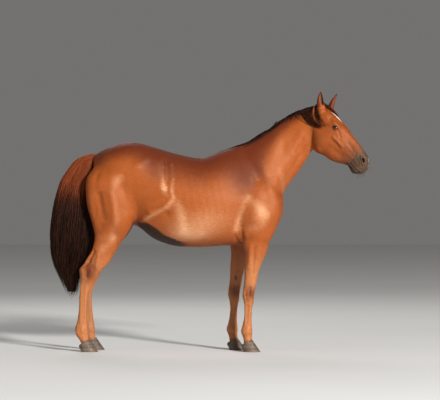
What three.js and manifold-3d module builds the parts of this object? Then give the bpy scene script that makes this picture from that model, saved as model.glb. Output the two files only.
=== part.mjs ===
// A young chestnut riding horse standing still, life size, as a set of closed solids.
// Millimetres, +X towards the muzzle, +Y to the horse's left, +Z up, the soles on Z = 0.
//
// Every fleshy part is a loft. A station of a loft is a line across the side view, from one
// edge of the outline to the other, with a superellipse of the stated half width round it:
//   [edge A x, edge A z, edge B x, edge B z, centre y, half width, widest at, power A, power B]
// "Widest at" is the share of the line, from A, where the section is widest, and the powers
// round its two halves: 2 is an ellipse, less is more pointed and more is squarer.

import * as THREE from 'three';
import { LoftGeometry } from 'three/addons/geometries/LoftGeometry.js';
import { mergeVertices } from 'three/addons/utils/BufferGeometryUtils.js';
import Module from 'manifold-3d';

const wasm = await Module();
wasm.setup();

// ---------- driving sizes ----------

const gap = 0.3; // left between solids that are parted
const hairGap = 1.2; // left between the flesh and what grows on it
const reach = 3000; // how far cutting blocks reach past the body
const smoothing = 0.35; // the most a face may move when needless points are dropped

const headPitch = 47.7; // the face's axis below the horizontal, degrees
const poll = { x: 812, z: 1872 }; // where the face's axis starts
const headTurn = { from: 520, over: 300, degrees: 21 }; // the neck bends to the right
const eye = { along: 254, up: 6, y: 82, radius: 21 };
const eyeOpening = { radii: [20, 14, 12.5], y: 103, tilt: 18 };
const earThickness = 6;

// How far each foot stands forward of its table, fading out upwards.
const legShifts = [
  { end: 'fore', name: 'right', by: 0, gone: 1250, full: 700 },
  { end: 'fore', name: 'left', by: -108, gone: 1250, full: 700 },
  { end: 'hind', name: 'right', by: 0, gone: 640, full: 130 },
  { end: 'hind', name: 'left', by: 38, gone: 640, full: 130 },
];

// Belly line (A) to back line (B), from the rump to the poll.
const bodyStations = [
  [-880, 1150, -893, 1485, 0, 85, 0.55, 2.0, 1.9],
  [-800, 1010, -805, 1537, 0, 185, 0.62, 2.0, 2.0],
  [-690, 960, -694, 1578, 0, 236, 0.62, 2.0, 2.1],
  [-560, 945, -566, 1586, 0, 252, 0.6, 2.0, 2.1],
  [-430, 848, -432, 1551, 0, 262, 0.56, 2.1, 2.1],
  [-270, 794, -270, 1503, 0, 280, 0.5, 2.1, 2.0],
  [-85, 784, -87, 1470, 0, 292, 0.47, 2.1, 1.9],
  [80, 794, 65, 1514, 0, 278, 0.47, 2.1, 1.75],
  [224, 803, 194, 1556, 0, 245, 0.46, 2.1, 1.6],
  [384, 828, 285, 1584, 0, 225, 0.43, 2.1, 1.6],
  [483, 890, 346, 1617, 0, 205, 0.4, 2.2, 1.65],
  [543, 1040, 399, 1649, 0, 176, 0.38, 2.3, 1.7],
  [556, 1190, 456, 1680, 0, 143, 0.4, 2.1, 1.75],
  [600, 1268, 517, 1724, 0, 113, 0.42, 2.0, 1.8],
  [650, 1333, 581, 1766, 0, 95, 0.45, 2.0, 1.85],
  [699, 1404, 646, 1800, 0, 84, 0.48, 2.0, 1.9],
  [737, 1464, 718, 1826, 0, 76, 0.52, 2.0, 2.0],
  [775, 1530, 800, 1848, 0, 68, 0.55, 2.0, 2.0],
];

// Jaw line (A) to face line (B), on the face's own axes: along the face from the poll, and up.
const headStations = [
  [66, -150, -8, 8, 0, 56, 0.6, 2.0, 2.0],
  [112, -195, 45, 26, 0, 72, 0.66, 2.2, 2.2],
  [172, -226, 105, 43, 0, 84, 0.72, 2.4, 2.5],
  [228, -250, 175, 54, 0, 92, 0.77, 2.5, 2.6],
  [275, -245, 240, 54, 0, 96, 0.8, 2.6, 2.6],
  [325, -220, 300, 55, 0, 80, 0.76, 2.5, 2.3],
  [383, -206, 358, 49, 0, 66, 0.7, 2.4, 2.1],
  [428, -186, 408, 47, 0, 57, 0.66, 2.3, 2.1],
  [468, -158, 455, 44, 0, 52, 0.62, 2.2, 2.1],
  [507, -137, 500, 40, 0, 51, 0.6, 2.2, 2.2],
  [547, -138, 545, 34, 0, 53, 0.56, 2.3, 2.3],
  [586, -134, 583, 23, 0, 54, 0.55, 2.4, 2.4],
  [612, -112, 611, 0, 0, 48, 0.55, 2.3, 2.3],
  [626, -94, 629, -28, 0, 34, 0.5, 2.2, 2.2],
  [634, -78, 638, -50, 0, 14, 0.5, 2.0, 2.0],
];

// Back (A) to front (B), from the shoulder down to the coronet.
const foreStations = [
  [236, 1310, 361, 1440, 92, 52, 0.5, 2.0, 2.0],
  [224, 1150, 490, 1272, 146, 84, 0.45, 2.2, 2.1],
  [228, 995, 530, 1070, 148, 88, 0.42, 2.2, 2.1],
  [236, 885, 478, 889, 144, 76, 0.42, 2.1, 2.1],
  [243, 808, 444, 820, 137, 62, 0.44, 2.1, 2.0],
  [259, 748, 430, 755, 133, 55, 0.45, 2.1, 2.0],
  [259, 691, 405, 700, 130, 49, 0.46, 2.1, 2.0],
  [254, 625, 375, 625, 127, 44, 0.48, 2.1, 2.0],
  [253, 557, 358, 557, 124, 39, 0.5, 2.2, 2.1],
  [247, 501, 346, 490, 123, 41, 0.52, 2.2, 2.6],
  [240, 449, 336, 449, 123, 43, 0.53, 2.2, 2.8],
  [238, 414, 332, 414, 122, 42, 0.54, 2.2, 2.8],
  [246, 386, 330, 380, 121, 36, 0.55, 2.1, 2.5],
  [252, 344, 321, 344, 120, 27, 0.6, 1.9, 2.2],
  [253, 298, 316, 298, 120, 26, 0.6, 1.9, 2.2],
  [248, 250, 314, 250, 119, 27, 0.6, 1.9, 2.2],
  [240, 202, 314, 202, 118, 31, 0.55, 2.0, 2.2],
  [230, 156, 318, 158, 118, 35, 0.52, 2.1, 2.2],
  [243, 124, 315, 124, 118, 30, 0.5, 2.1, 2.2],
  [250, 90, 315, 98, 118, 32, 0.5, 2.1, 2.2],
  [254, 56, 322, 76, 118, 40, 0.5, 2.2, 2.1],
];

// Back (A) to front (B), from the hip down to the coronet.
const hindStations = [
  [-880, 1400, -640, 1440, 70, 72, 0.5, 2.0, 2.0],
  [-938, 1310, -580, 1325, 120, 112, 0.52, 2.1, 2.1],
  [-943, 1205, -556, 1175, 137, 115, 0.52, 2.2, 2.1],
  [-932, 1100, -556, 1070, 139, 107, 0.5, 2.2, 2.1],
  [-906, 1005, -580, 980, 139, 94, 0.5, 2.1, 2.0],
  [-884, 920, -610, 914, 136, 76, 0.5, 2.1, 2.0],
  [-877, 866, -648, 858, 131, 63, 0.5, 2.1, 2.0],
  [-886, 815, -683, 818, 128, 54, 0.52, 2.0, 2.0],
  [-900, 764, -707, 772, 126, 49, 0.55, 1.9, 2.0],
  [-922, 727, -731, 735, 124, 45, 0.58, 1.8, 2.0],
  [-945, 693, -752, 694, 122, 42, 0.62, 1.7, 2.0],
  [-965, 660, -784, 650, 120, 40, 0.6, 1.8, 2.1],
  [-992, 626, -830, 606, 119, 40, 0.56, 2.0, 2.2],
  [-992, 592, -848, 572, 118, 40, 0.55, 2.1, 2.3],
  [-986, 543, -868, 532, 118, 38, 0.55, 2.1, 2.2],
  [-988, 489, -898, 480, 117, 32, 0.56, 2.0, 2.2],
  [-993, 421, -918, 434, 116, 27, 0.6, 1.9, 2.2],
  [-995, 353, -927, 353, 115, 26, 0.6, 1.9, 2.2],
  [-1002, 285, -929, 285, 115, 26, 0.6, 1.9, 2.2],
  [-1009, 231, -926, 232, 114, 29, 0.58, 1.9, 2.2],
  [-1021, 180, -924, 172, 114, 34, 0.54, 2.1, 2.2],
  [-1014, 127, -920, 127, 114, 32, 0.5, 2.1, 2.2],
  [-990, 92, -920, 98, 114, 32, 0.5, 2.1, 2.2],
  [-972, 56, -906, 76, 114, 40, 0.5, 2.2, 2.1],
];

// Outer side (A) to inner side (B), from the root of the dock to the last hairs.
const tailStations = [
  [-868, 1500, -880, 1420, 0, 30, 0.5, 2.0, 2.0],
  [-950, 1484, -896, 1385, 0, 38, 0.5, 2.0, 2.0],
  [-1025, 1447, -894, 1316, 0, 46, 0.5, 2.0, 2.0],
  [-1085, 1372, -890, 1225, 0, 56, 0.5, 2.0, 2.0],
  [-1134, 1286, -886, 1135, 0, 70, 0.5, 2.1, 2.1],
  [-1174, 1160, -878, 1030, 0, 84, 0.5, 2.1, 2.1],
  [-1203, 1020, -874, 930, 0, 92, 0.5, 2.1, 2.1],
  [-1213, 870, -884, 832, 0, 92, 0.5, 2.1, 2.1],
  [-1204, 745, -918, 733, 0, 84, 0.5, 2.1, 2.1],
  [-1178, 645, -972, 640, 0, 70, 0.5, 2.1, 2.1],
  [-1138, 548, -1000, 540, 0, 54, 0.5, 2.0, 2.0],
  [-1105, 468, -1010, 458, 0, 36, 0.5, 2.0, 2.0],
  [-1076, 396, -1046, 396, 0, 12, 0.5, 2.0, 2.0],
];

// Muscle and bone that lift or sink the surface, the same on both sides:
//   [height of the swelling, its spread, from x, y, z, to x, y, z]
const relief = [
  [15, 46, -380, 232, 1500, -372, 240, 1470], // point of the hip
  [-11, 60, -300, 250, 1405, -290, 265, 1340], // hollow of the flank
  [9, 26, -330, 262, 1170, -540, 235, 1060], // fold from stifle to flank
  [-8, 24, -850, 200, 1420, -872, 225, 1000], // groove behind the thigh
  [8, 42, -740, 245, 1330, -715, 240, 985], // front of the thigh
  [-8, 32, -830, 240, 1180, -830, 230, 960], // hollow above the gaskin
  [9, 48, -640, 205, 1010, -655, 190, 960], // stifle
  [-9, 36, 255, 205, 1500, 410, 215, 1250], // groove before the shoulder blade
  [8, 40, 250, 180, 1480, 330, 215, 1330], // spine of the shoulder blade
  [14, 75, 300, 235, 1090, 320, 230, 1010], // triceps
  [10, 52, 480, 185, 1100, 470, 190, 1050], // point of the shoulder
  [-9, 26, 222, 220, 1000, 232, 200, 880], // groove behind the elbow
  [9, 26, 250, 190, 915, 262, 190, 885], // elbow
  [8, 60, 540, 70, 1090, 545, 70, 1030], // breast muscle
  [-9, 30, 565, 0, 1120, 520, 0, 960], // furrow between the breast muscles
  [-7, 22, 720, 62, 1540, 570, 110, 1230], // jugular furrow
  [5, 34, 700, 78, 1640, 520, 130, 1330], // muscle along the neck
  [6, 30, 385, 165, 810, 365, 160, 720], // front of the forearm
  [-7, 14, -945, 140, 745, -985, 140, 680], // hollow before the hamstring
  [-4, 9, 276, 145, 350, 270, 145, 215], // furrow before the fore tendons
  [-4, 9, -985, 142, 450, -990, 142, 220], // furrow before the hind tendons
];

// The same on the face: [height, spread, from along, y, up, to along, y, up]
const faceRelief = [
  [9, 20, 226, 92, 32, 266, 90, 30], // brow over the eye
  [-7, 20, 170, 76, 28, 184, 80, 20], // hollow above the eye
  [6, 13, 300, 78, -58, 385, 62, -52], // cheek bone
  [8, 52, 215, 80, -130, 250, 76, -160], // jaw muscle
  [-6, 26, 330, 60, 6, 430, 50, 2], // hollow beside the nose
  [-6, 24, 370, 60, -120, 430, 50, -110], // hollow of the cheek
  [6, 20, 566, 46, -12, 580, 44, -22], // nostril
  [6, 26, 585, 20, -118, 575, 16, -132], // chin
  [-7, 16, 532, 26, -134, 512, 20, -136], // furrow behind the chin
];

// A hoof from the ground up to above the coronet, measured back from the toe:
//   [back x, back z, front x, front z, half width, power]
const hoofStations = [
  [-127, 0, 0, 0, 60, 2.4],
  [-133, 14, -20, 29, 57, 2.4],
  [-140, 28, -40, 58, 54, 2.3],
  [-146, 40, -58, 84, 50, 2.2],
  [-142, 52, -64, 96, 44, 2.1],
];
const coronet = { x: -102, z: 63, rise: 26.5 };
const toes = { fore: 378, hind: -848 };

// Ears, on the straight horse: the middle of the base and the tip, and which way they open.
const ears = {
  right: { base: [866, -52, 1838], tip: [864, -66, 1962], opening: 12 },
  left: { base: [900, 50, 1812], tip: [952, 64, 1950], opening: -20 },
};
// Share of the length, half width, half depth of the outside, and the same of the hollow.
const earStations = [
  [0, 25, 24, 0, 0],
  [0.12, 29, 26, 14, 20],
  [0.3, 33, 25, 27, 27],
  [0.5, 32, 21, 27, 25],
  [0.7, 25, 15, 21, 18],
  [0.86, 15, 9, 12, 11],
  [0.97, 6, 5, 3, 6],
];

// Mane and forelock lie on the skin as bands: [station, start angle, end angle, thickness]
const maneBands = [
  [8.2, 84, 96, 5],
  [9.5, 70, 98, 12],
  [11, 58, 100, 18],
  [13, 50, 101, 22],
  [15, 46, 101, 22],
  [16.9, 48, 103, 20],
];
const forelockBands = [
  [0.05, 60, 108, 22],
  [1.2, 60, 100, 20],
  [2.2, 58, 92, 15],
  [3.2, 62, 82, 9],
  [3.9, 68, 76, 4],
];

// ---------- lofts ----------

// Uniform Catmull-Rom through the rows of a table, at row number u.
function rowAt(table, u) {
  const last = table.length - 1;
  const i = Math.min(Math.floor(u), last - 1);
  const t = u - i;
  const before = table[Math.max(i - 1, 0)];
  const after = table[Math.min(i + 2, last)];
  return table[i].map((b, k) => {
    const a = i > 0 ? before[k] : 2 * b - table[1][k];
    const c = table[i + 1][k];
    const d = i < last - 1 ? after[k] : 2 * c - b;
    return b + 0.5 * t * (c - a + t * (2 * a - 5 * b + 4 * c - d + t * (3 * (b - c) + d - a)));
  });
}

// The point of a section at an angle: 0 is the left side, 90 degrees is edge B.
function sectionPoint(row, angle, swell) {
  const [ax, az, bx, bz, y, halfWidth, widest, powerA, powerB] = row;
  const line = new THREE.Vector2(bx - ax, bz - az);
  const height = line.length();
  line.normalize();
  const c = Math.cos(angle);
  const s = Math.sin(angle);
  const power = s > 0 ? powerB : powerA;
  const reach = (s > 0 ? 1 - widest : widest) * height + swell;
  const across = Math.sign(c) * Math.abs(c) ** (2 / power) * (halfWidth + swell);
  const up = Math.sign(s) * Math.abs(s) ** (2 / power) * reach;
  const middle = { x: ax + line.x * widest * height, z: az + line.y * widest * height };
  const point = new THREE.Vector3(middle.x + line.x * up, y + across, middle.z + line.y * up);
  return { point, outward: point.clone().sub(new THREE.Vector3(middle.x, y, middle.z)).normalize() };
}

const nearest = new THREE.Vector3();

// How far the relief lifts the surface at a point.
function lift(point, swellings) {
  const probe = new THREE.Vector3(point.x, Math.abs(point.y), point.z);
  return swellings.reduce((sum, [height, spread, ...ends]) => {
    const from = new THREE.Vector3(...ends.slice(0, 3));
    const segment = new THREE.Line3(from, new THREE.Vector3(...ends.slice(3)));
    const distance = segment.closestPointToPoint(probe, true, nearest).distanceTo(probe);
    return sum + height * Math.exp(-((distance / spread) ** 2));
  }, 0);
}

// Rings of points round a table, each moved by the relief and then by place().
function rings(table, { steps, sides, swell = 0, swellings = [], place = (p) => p }) {
  return Array.from({ length: steps + 1 }, (_, i) => {
    const row = rowAt(table, ((table.length - 1) * i) / steps);
    return Array.from({ length: sides }, (_, j) => {
      const { point, outward } = sectionPoint(row, (2 * Math.PI * j) / sides, swell);
      return place(point.addScaledVector(outward, lift(point, swellings)));
    });
  });
}

// A manifold-3d solid from a geometry, with its faces turned to point out.
function solidOf(geometry) {
  const bare = new THREE.BufferGeometry();
  bare.setAttribute('position', geometry.getAttribute('position'));
  bare.setIndex(geometry.index);
  const merged = mergeVertices(bare, 1e-3);
  const triVerts = new Uint32Array(merged.index.array);
  const vertProperties = merged.attributes.position.array;
  const made = new wasm.Manifold(new wasm.Mesh({ numProp: 3, vertProperties, triVerts }));
  if (made.volume() > 0) return made;
  for (let i = 0; i < triVerts.length; i += 3) {
    triVerts.subarray(i, i + 2).reverse();
  }
  return new wasm.Manifold(new wasm.Mesh({ numProp: 3, vertProperties, triVerts }));
}

// A capped loft; its sections are turned round where they wind the wrong way.
function loft(sections) {
  const middleOf = (ring) =>
    ring.reduce((sum, p) => sum.add(p), new THREE.Vector3()).divideScalar(ring.length);
  const [first, second] = sections;
  const start = middleOf(first);
  const normal = new THREE.Vector3();
  first.forEach((p, i) => {
    const next = first[(i + 1) % first.length].clone().sub(start);
    normal.add(p.clone().sub(start).cross(next));
  });
  const onward = normal.dot(middleOf(second).sub(start)) > 0;
  const wound = onward ? sections : sections.map((ring) => [...ring].reverse());
  return solidOf(new LoftGeometry(wound, { capStart: true, capEnd: true }));
}

// ---------- places ----------

const radians = THREE.MathUtils.degToRad;

// A point of the face's own axes in the side view of the straight horse.
function onFace(along, y, up) {
  const c = Math.cos(radians(headPitch));
  const s = Math.sin(radians(headPitch));
  return new THREE.Vector3(poll.x + along * c + up * s, y, poll.z - along * s + up * c);
}

// Bends the neck to the right: a circular arc over its length, straight on beyond it.
function turned(p) {
  const full = radians(headTurn.degrees);
  const radius = headTurn.over / full;
  const t = THREE.MathUtils.clamp((p.x - headTurn.from) / headTurn.over, 0, 1);
  if (t === 0) return p;
  const angle = full * t;
  const beyond = Math.max(0, p.x - headTurn.from - headTurn.over);
  const x = headTurn.from + (radius + p.y) * Math.sin(angle) + beyond * Math.cos(angle);
  const y = (radius + p.y) * Math.cos(angle) - radius - beyond * Math.sin(angle);
  return new THREE.Vector3(x, y, p.z);
}

// Moves a leg's points to its side and steps the foot forward or back.
function stepped(side, shift) {
  return (p) => {
    const t = THREE.MathUtils.smoothstep(shift.gone - p.z, 0, shift.gone - shift.full);
    return new THREE.Vector3(p.x + shift.by * t, side * p.y, p.z);
  };
}

const faceTable = headStations.map(([aAlong, aUp, bAlong, bUp, ...rest]) => {
  const a = onFace(aAlong, 0, aUp);
  const b = onFace(bAlong, 0, bUp);
  return [a.x, a.z, b.x, b.z, ...rest];
});

const faceSwellings = faceRelief.map(([height, spread, a1, y1, u1, a2, y2, u2]) => [
  height,
  spread,
  ...onFace(a1, y1, u1).toArray(),
  ...onFace(a2, y2, u2).toArray(),
]);

// ---------- flesh ----------

const sides = { right: -1, left: 1 };
const bodyShape = { steps: 32, sides: 22, swellings: relief, place: turned };
const faceShape = { steps: 22, sides: 20, swellings: faceSwellings, place: turned };
const legShape = { steps: 22, sides: 12, swellings: relief };
const tailShape = { steps: 14, sides: 12 };
const hoofShape = { steps: 4, sides: 14 };

const legs = legShifts.map(({ end, name, ...shift }) => {
  const side = sides[name];
  const table = end === 'fore' ? foreStations : hindStations;
  return { end, name, side, table, shift, place: (p) => turned(stepped(side, shift)(p)) };
});

function hoofSolid({ end, table, place }) {
  const centre = table.at(-1)[4];
  const stations = hoofStations.map(([backX, backZ, frontX, frontZ, halfWidth, power]) => [
    toes[end] + backX,
    backZ,
    toes[end] + frontX,
    frontZ,
    centre,
    halfWidth,
    0.5,
    power,
    2.1,
  ]);
  return loft(rings(stations, { ...hoofShape, place }));
}

// The whole animal in one piece, its surface swollen outwards by a little.
function flesh(swell) {
  const parts = [
    loft(rings(bodyStations, { ...bodyShape, swell })),
    loft(rings(faceTable, { ...faceShape, swell })),
    ...legs.map(({ table, place }) => loft(rings(table, { ...legShape, swell, place }))),
  ];
  return parts.reduce((whole, part) => whole.add(part));
}

// ---------- parting ----------

// A block in front of a line of the side view, the line leaning forward by an angle and the
// block turned to the right by another.
function ahead(x, z, lean, yaw, grow) {
  const geometry = new THREE.BoxGeometry(reach, reach, reach);
  const start = turned(new THREE.Vector3(x, 0, z));
  geometry.translate(reach / 2 - grow, 0, 0).rotateY(radians(lean)).rotateZ(radians(-yaw));
  return solidOf(geometry.translate(start.x, start.y, start.z));
}

// A block below a plane through a point of the side view, its front end raised by an angle.
function beneath(x, z, rise, grow) {
  const geometry = new THREE.BoxGeometry(reach, reach, reach);
  geometry.translate(0, 0, grow - reach / 2).rotateY(radians(-rise));
  return solidOf(geometry.translate(x, 0, z));
}

// The room below the trunk between two distances along it.
function legRoom(from, to, top, grow) {
  const geometry = new THREE.BoxGeometry(to - from + 2 * grow, reach, reach);
  return solidOf(geometry.translate((from + to) / 2, 0, top + grow - reach / 2));
}

// Parts a solid by a block: [inside it, outside it], the outside set back by the gap.
const parted = (solid, cutter) => [solid.intersect(cutter(0)), solid.subtract(cutter(gap))];

const cutAhead = (solid, { x, z, lean, yaw }) =>
  parted(solid, (grow) => ahead(x, z, lean, yaw, grow));

const byVolume = (a, b) => b.volume() - a.volume();
const largest = (solid) => solid.decompose().sort(byVolume)[0];

const centreY = (solid) => {
  const { min, max } = solid.boundingBox();
  return (min[1] + max[1]) / 2;
};

// The two legs in a piece that holds both, the right one first.
function rightAndLeft(solid) {
  const pair = solid.decompose().sort(byVolume).slice(0, 2);
  return pair.sort((a, b) => centreY(a) - centreY(b));
}

const trunkCuts = {
  neck: { x: 400, z: 1386, lean: -35, yaw: 0 },
  head: { x: 780, z: 1690, lean: 11, yaw: 18 },
  shoulder: { x: 190, z: 900, lean: 0, yaw: 0 },
  loin: { x: -430, z: 900, lean: 0, yaw: 0 },
};
const pairs = [
  { end: 'fore', upper: 'forearm', from: 105, to: 700, top: 795, joint: 398 },
  { end: 'hind', upper: 'gaskin', from: -1100, to: -585, top: 890, joint: 545 },
];

const solids = {};

// The legs come off below the trunk, and part again at the knee or hock and the coronet.
let trunk = flesh(0);
for (const { end, upper, from, to, top, joint } of pairs) {
  const [both, rest] = parted(trunk, (grow) => legRoom(from, to, top, grow));
  trunk = rest;
  const found = rightAndLeft(both);
  for (const leg of legs.filter((one) => one.end === end)) {
    const limb = found[leg.side === sides.right ? 0 : 1];
    const [lower, high] = parted(limb, (grow) => beneath(0, joint, 0, grow));
    const x = toes[end] + leg.shift.by + coronet.x;
    const [hoof, shank] = parted(lower.add(hoofSolid(leg)), (grow) =>
      beneath(x, coronet.z, coronet.rise, grow),
    );
    solids[`${upper}_${leg.name}`] = largest(high);
    solids[`${end}_cannon_${leg.name}`] = largest(shank);
    solids[`${end}_hoof_${leg.name}`] = largest(hoof);
  }
}

const [front, middle] = cutAhead(largest(trunk), trunkCuts.neck);
const [bareHead, neck] = cutAhead(front, trunkCuts.head);
const [shoulders, back] = cutAhead(middle, trunkCuts.shoulder);
const [barrel, quarters] = cutAhead(back, trunkCuts.loin);

// ---------- eyes and ears ----------

function ball(side, radii, at) {
  const centre = turned(onFace(at.along, side * at.y, at.up));
  const geometry = new THREE.SphereGeometry(1, 12, 8).scale(...radii);
  geometry.rotateY(radians(headPitch - eyeOpening.tilt)).rotateZ(radians(-headTurn.degrees));
  return solidOf(geometry.translate(centre.x, centre.y, centre.z));
}

// One wall of an ear: ellipses across its axis, their centres moved towards the opening.
function earWallSolid({ base, tip, opening }, columns, from, grow) {
  const start = new THREE.Vector3(...base);
  const axis = new THREE.Vector3(...tip).sub(start);
  const length = axis.length();
  axis.normalize();
  const facing = new THREE.Vector3(Math.cos(radians(opening)), -Math.sin(radians(opening)), 0);
  facing.addScaledVector(axis, -facing.dot(axis)).normalize();
  const across = new THREE.Vector3().crossVectors(axis, facing);
  const steps = 6;
  const count = 12;
  return loft(
    Array.from({ length: steps + 1 }, (_, i) => {
      const row = rowAt(earStations, from + ((earStations.length - 1 - from) * i) / steps);
      const width = row[columns.width] + grow;
      const depth = row[columns.depth] + grow;
      const shift = columns.hollow ? row[4] - row[2] + earThickness : 0;
      return Array.from({ length: count }, (_, j) => {
        const angle = (2 * Math.PI * j) / count;
        const point = start.clone().addScaledVector(axis, length * row[0]);
        point.addScaledVector(across, width * Math.cos(angle));
        return turned(point.addScaledVector(facing, shift + depth * Math.sin(angle)));
      });
    }),
  );
}

const earOutside = (ear, grow) => earWallSolid(ear, { width: 1, depth: 2 }, 0, grow);
const earHollow = (ear) => earWallSolid(ear, { width: 3, depth: 4, hollow: true }, 1, 0);

let head = bareHead;
for (const [name, side] of Object.entries(sides)) {
  const { radius } = eye;
  const socket = radius + gap;
  head = head.subtract(ball(side, [socket, socket, socket], eye));
  head = head.subtract(ball(side, eyeOpening.radii, { ...eye, y: eyeOpening.y }));
}
Object.assign(solids, { head, neck, shoulders, barrel, quarters });
for (const name of Object.keys(solids)) solids[name] = largest(solids[name].simplify(smoothing));

// The room that what grows on the flesh must leave: the flesh with a gap round it. The rump
// is moved back as well, because its flat end doesn't swell.
const rump = solids.quarters.translate(-hairGap, 0, 0);
const around = [solids.head, solids.neck, solids.shoulders, solids.quarters, rump].reduce(
  (sum, one) => sum.add(one),
  flesh(hairGap),
);

for (const [name, side] of Object.entries(sides)) {
  const { radius } = eye;
  const shell = earOutside(ears[name], 0).subtract(earHollow(ears[name]));
  solids[`eye_${name}`] = ball(side, [radius, radius, radius], eye);
  solids[`ear_${name}`] = largest(shell.subtract(around));
}

// ---------- hair ----------

// A band of hair over the skin of a loft: at each station, outer points above the skin from
// one angle to the other, and inner points below it on the way back.
function band(table, stations, steps) {
  const count = 6;
  const rooted = 6;
  return loft(
    Array.from({ length: steps + 1 }, (_, i) => {
      const [u, from, to, thickness] = rowAt(stations, ((stations.length - 1) * i) / steps);
      const row = rowAt(table, u);
      const at = (j, swell) => {
        const angle = radians(from + ((to - from) * j) / (count - 1));
        return turned(sectionPoint(row, angle, swell).point);
      };
      const outer = Array.from({ length: count }, (_, j) => {
        const fullness = Math.sin((Math.PI * (j + 1)) / (count + 1)) ** 0.5;
        return at(j, thickness * fullness);
      });
      const inner = Array.from({ length: count }, (_, j) => at(count - 1 - j, -rooted));
      return [...outer, ...inner];
    }),
  );
}

const earRoom = earOutside(ears.right, gap).add(earOutside(ears.left, gap));
const forelock = band(faceTable, forelockBands, 7);
solids.mane = largest(band(bodyStations, maneBands, 12).subtract(around));
solids.forelock = largest(forelock.subtract(around).subtract(earRoom));
solids.tail = largest(loft(rings(tailStations, tailShape)).subtract(around));

// ---------- the part ----------

const finishes = {
  coat: { color: 0xa65a38, roughness: 0.5 },
  lowerLegs: { color: 0xb8754f, roughness: 0.6 },
  hair: { color: 0x2a1512, roughness: 0.5 },
  horn: { color: 0x4a3a30, roughness: 0.65 },
  eye: { color: 0x14100e, roughness: 0.12 },
};

function finishOf(name) {
  if (name.startsWith('eye')) return finishes.eye;
  if (name.includes('hoof')) return finishes.horn;
  if (name.includes('cannon')) return finishes.lowerLegs;
  if (['mane', 'forelock', 'tail'].includes(name)) return finishes.hair;
  return finishes.coat;
}

const group = new THREE.Group();
for (const [name, solid] of Object.entries(solids)) {
  const { vertProperties, triVerts } = solid.getMesh();
  const indexed = new THREE.BufferGeometry();
  indexed.setAttribute('position', new THREE.BufferAttribute(vertProperties, 3));
  indexed.setIndex(new THREE.BufferAttribute(triVerts, 1));
  const geometry = indexed.toNonIndexed();
  geometry.computeVertexNormals();
  const material = new THREE.MeshStandardMaterial({ ...finishOf(name), metalness: 0 });
  const mesh = new THREE.Mesh(geometry, material);
  mesh.name = name;
  group.add(mesh);
}

// the origin lies under the middle of the whole outline
const outline = new THREE.Box3().setFromObject(group);
const middleOfAll = outline.getCenter(new THREE.Vector3());
for (const { geometry } of group.children) geometry.translate(-middleOfAll.x, -middleOfAll.y, 0);

export default group;
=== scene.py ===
from math import atan2, cos, pi, radians, sin
import bpy
import numpy as np
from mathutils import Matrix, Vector
from mathutils.bvhtree import BVHTree
from mathutils.kdtree import KDTree


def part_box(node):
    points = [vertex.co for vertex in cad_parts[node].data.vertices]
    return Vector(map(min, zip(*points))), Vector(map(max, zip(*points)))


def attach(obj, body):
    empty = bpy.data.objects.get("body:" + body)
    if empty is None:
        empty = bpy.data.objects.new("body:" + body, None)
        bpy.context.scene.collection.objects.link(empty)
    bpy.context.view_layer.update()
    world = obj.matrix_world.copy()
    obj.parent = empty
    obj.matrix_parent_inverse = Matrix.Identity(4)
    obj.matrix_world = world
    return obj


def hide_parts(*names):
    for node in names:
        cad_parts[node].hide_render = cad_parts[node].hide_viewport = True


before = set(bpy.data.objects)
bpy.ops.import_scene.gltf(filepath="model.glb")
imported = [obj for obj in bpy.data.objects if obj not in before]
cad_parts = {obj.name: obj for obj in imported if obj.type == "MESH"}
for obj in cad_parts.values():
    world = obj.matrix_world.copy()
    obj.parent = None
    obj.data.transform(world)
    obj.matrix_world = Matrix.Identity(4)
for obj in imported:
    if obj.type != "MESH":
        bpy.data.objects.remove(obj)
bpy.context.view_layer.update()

mm = 0.001

# The tables below are in millimetres on an axis of their own; this is how far the CAD's zero
# lies from theirs, read from the flat cut in front of the barrel.
shoulderCut = 189.7
place = {
    "shift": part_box("barrel")[1][0] - shoulderCut * mm,
    "facePitch": 47.7, "pollX": 812.0, "pollZ": 1872.0,
    "turnFrom": 520.0, "turnOver": 300.0, "turn": 21.0,
}
legShifts = {  # how far each foot stands forward of its table, and the heights where that fades
    ("fore", -1): (0, 1250, 700), ("fore", 1): (-108, 1250, 700),
    ("hind", -1): (0, 640, 130), ("hind", 1): (38, 640, 130),
}


# Smoothly from 0 to 1 while t goes from 0 to 1: 3 t squared less 2 t cubed.
def ramp(t):
    t = np.clip(t, 0, 1)
    return t * t * (3 - 2 * t)


# A bell: 1 at no distance, falling with the square of distance over spread.
def gauss(distance, spread):
    return np.exp(-(distance / spread) ** 2)


# Cosine and sine of an angle in degrees.
def cosSin(angle):
    return cos(radians(angle)), sin(radians(angle))


# Vectors brought to length one.
def unit(v):
    return v / np.maximum(np.linalg.norm(v, axis=-1, keepdims=True), 1e-12)


# The neck's bend, seen from above: x runs round a circle, and straight on beyond its end.
def turned(p):
    full = radians(place["turn"])
    radius = place["turnOver"] / full
    t = np.clip((p[..., 0] - place["turnFrom"]) / place["turnOver"], 0, 1)
    beyond = np.maximum(p[..., 0] - place["turnFrom"] - place["turnOver"], 0)
    x = place["turnFrom"] + (radius + p[..., 1]) * np.sin(full * t) + beyond * cos(full)
    y = (radius + p[..., 1]) * np.cos(full * t) - radius - beyond * sin(full)
    bent = np.stack([x, y, p[..., 2]], -1)
    return np.where((t > 0)[..., None], bent, p)


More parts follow.
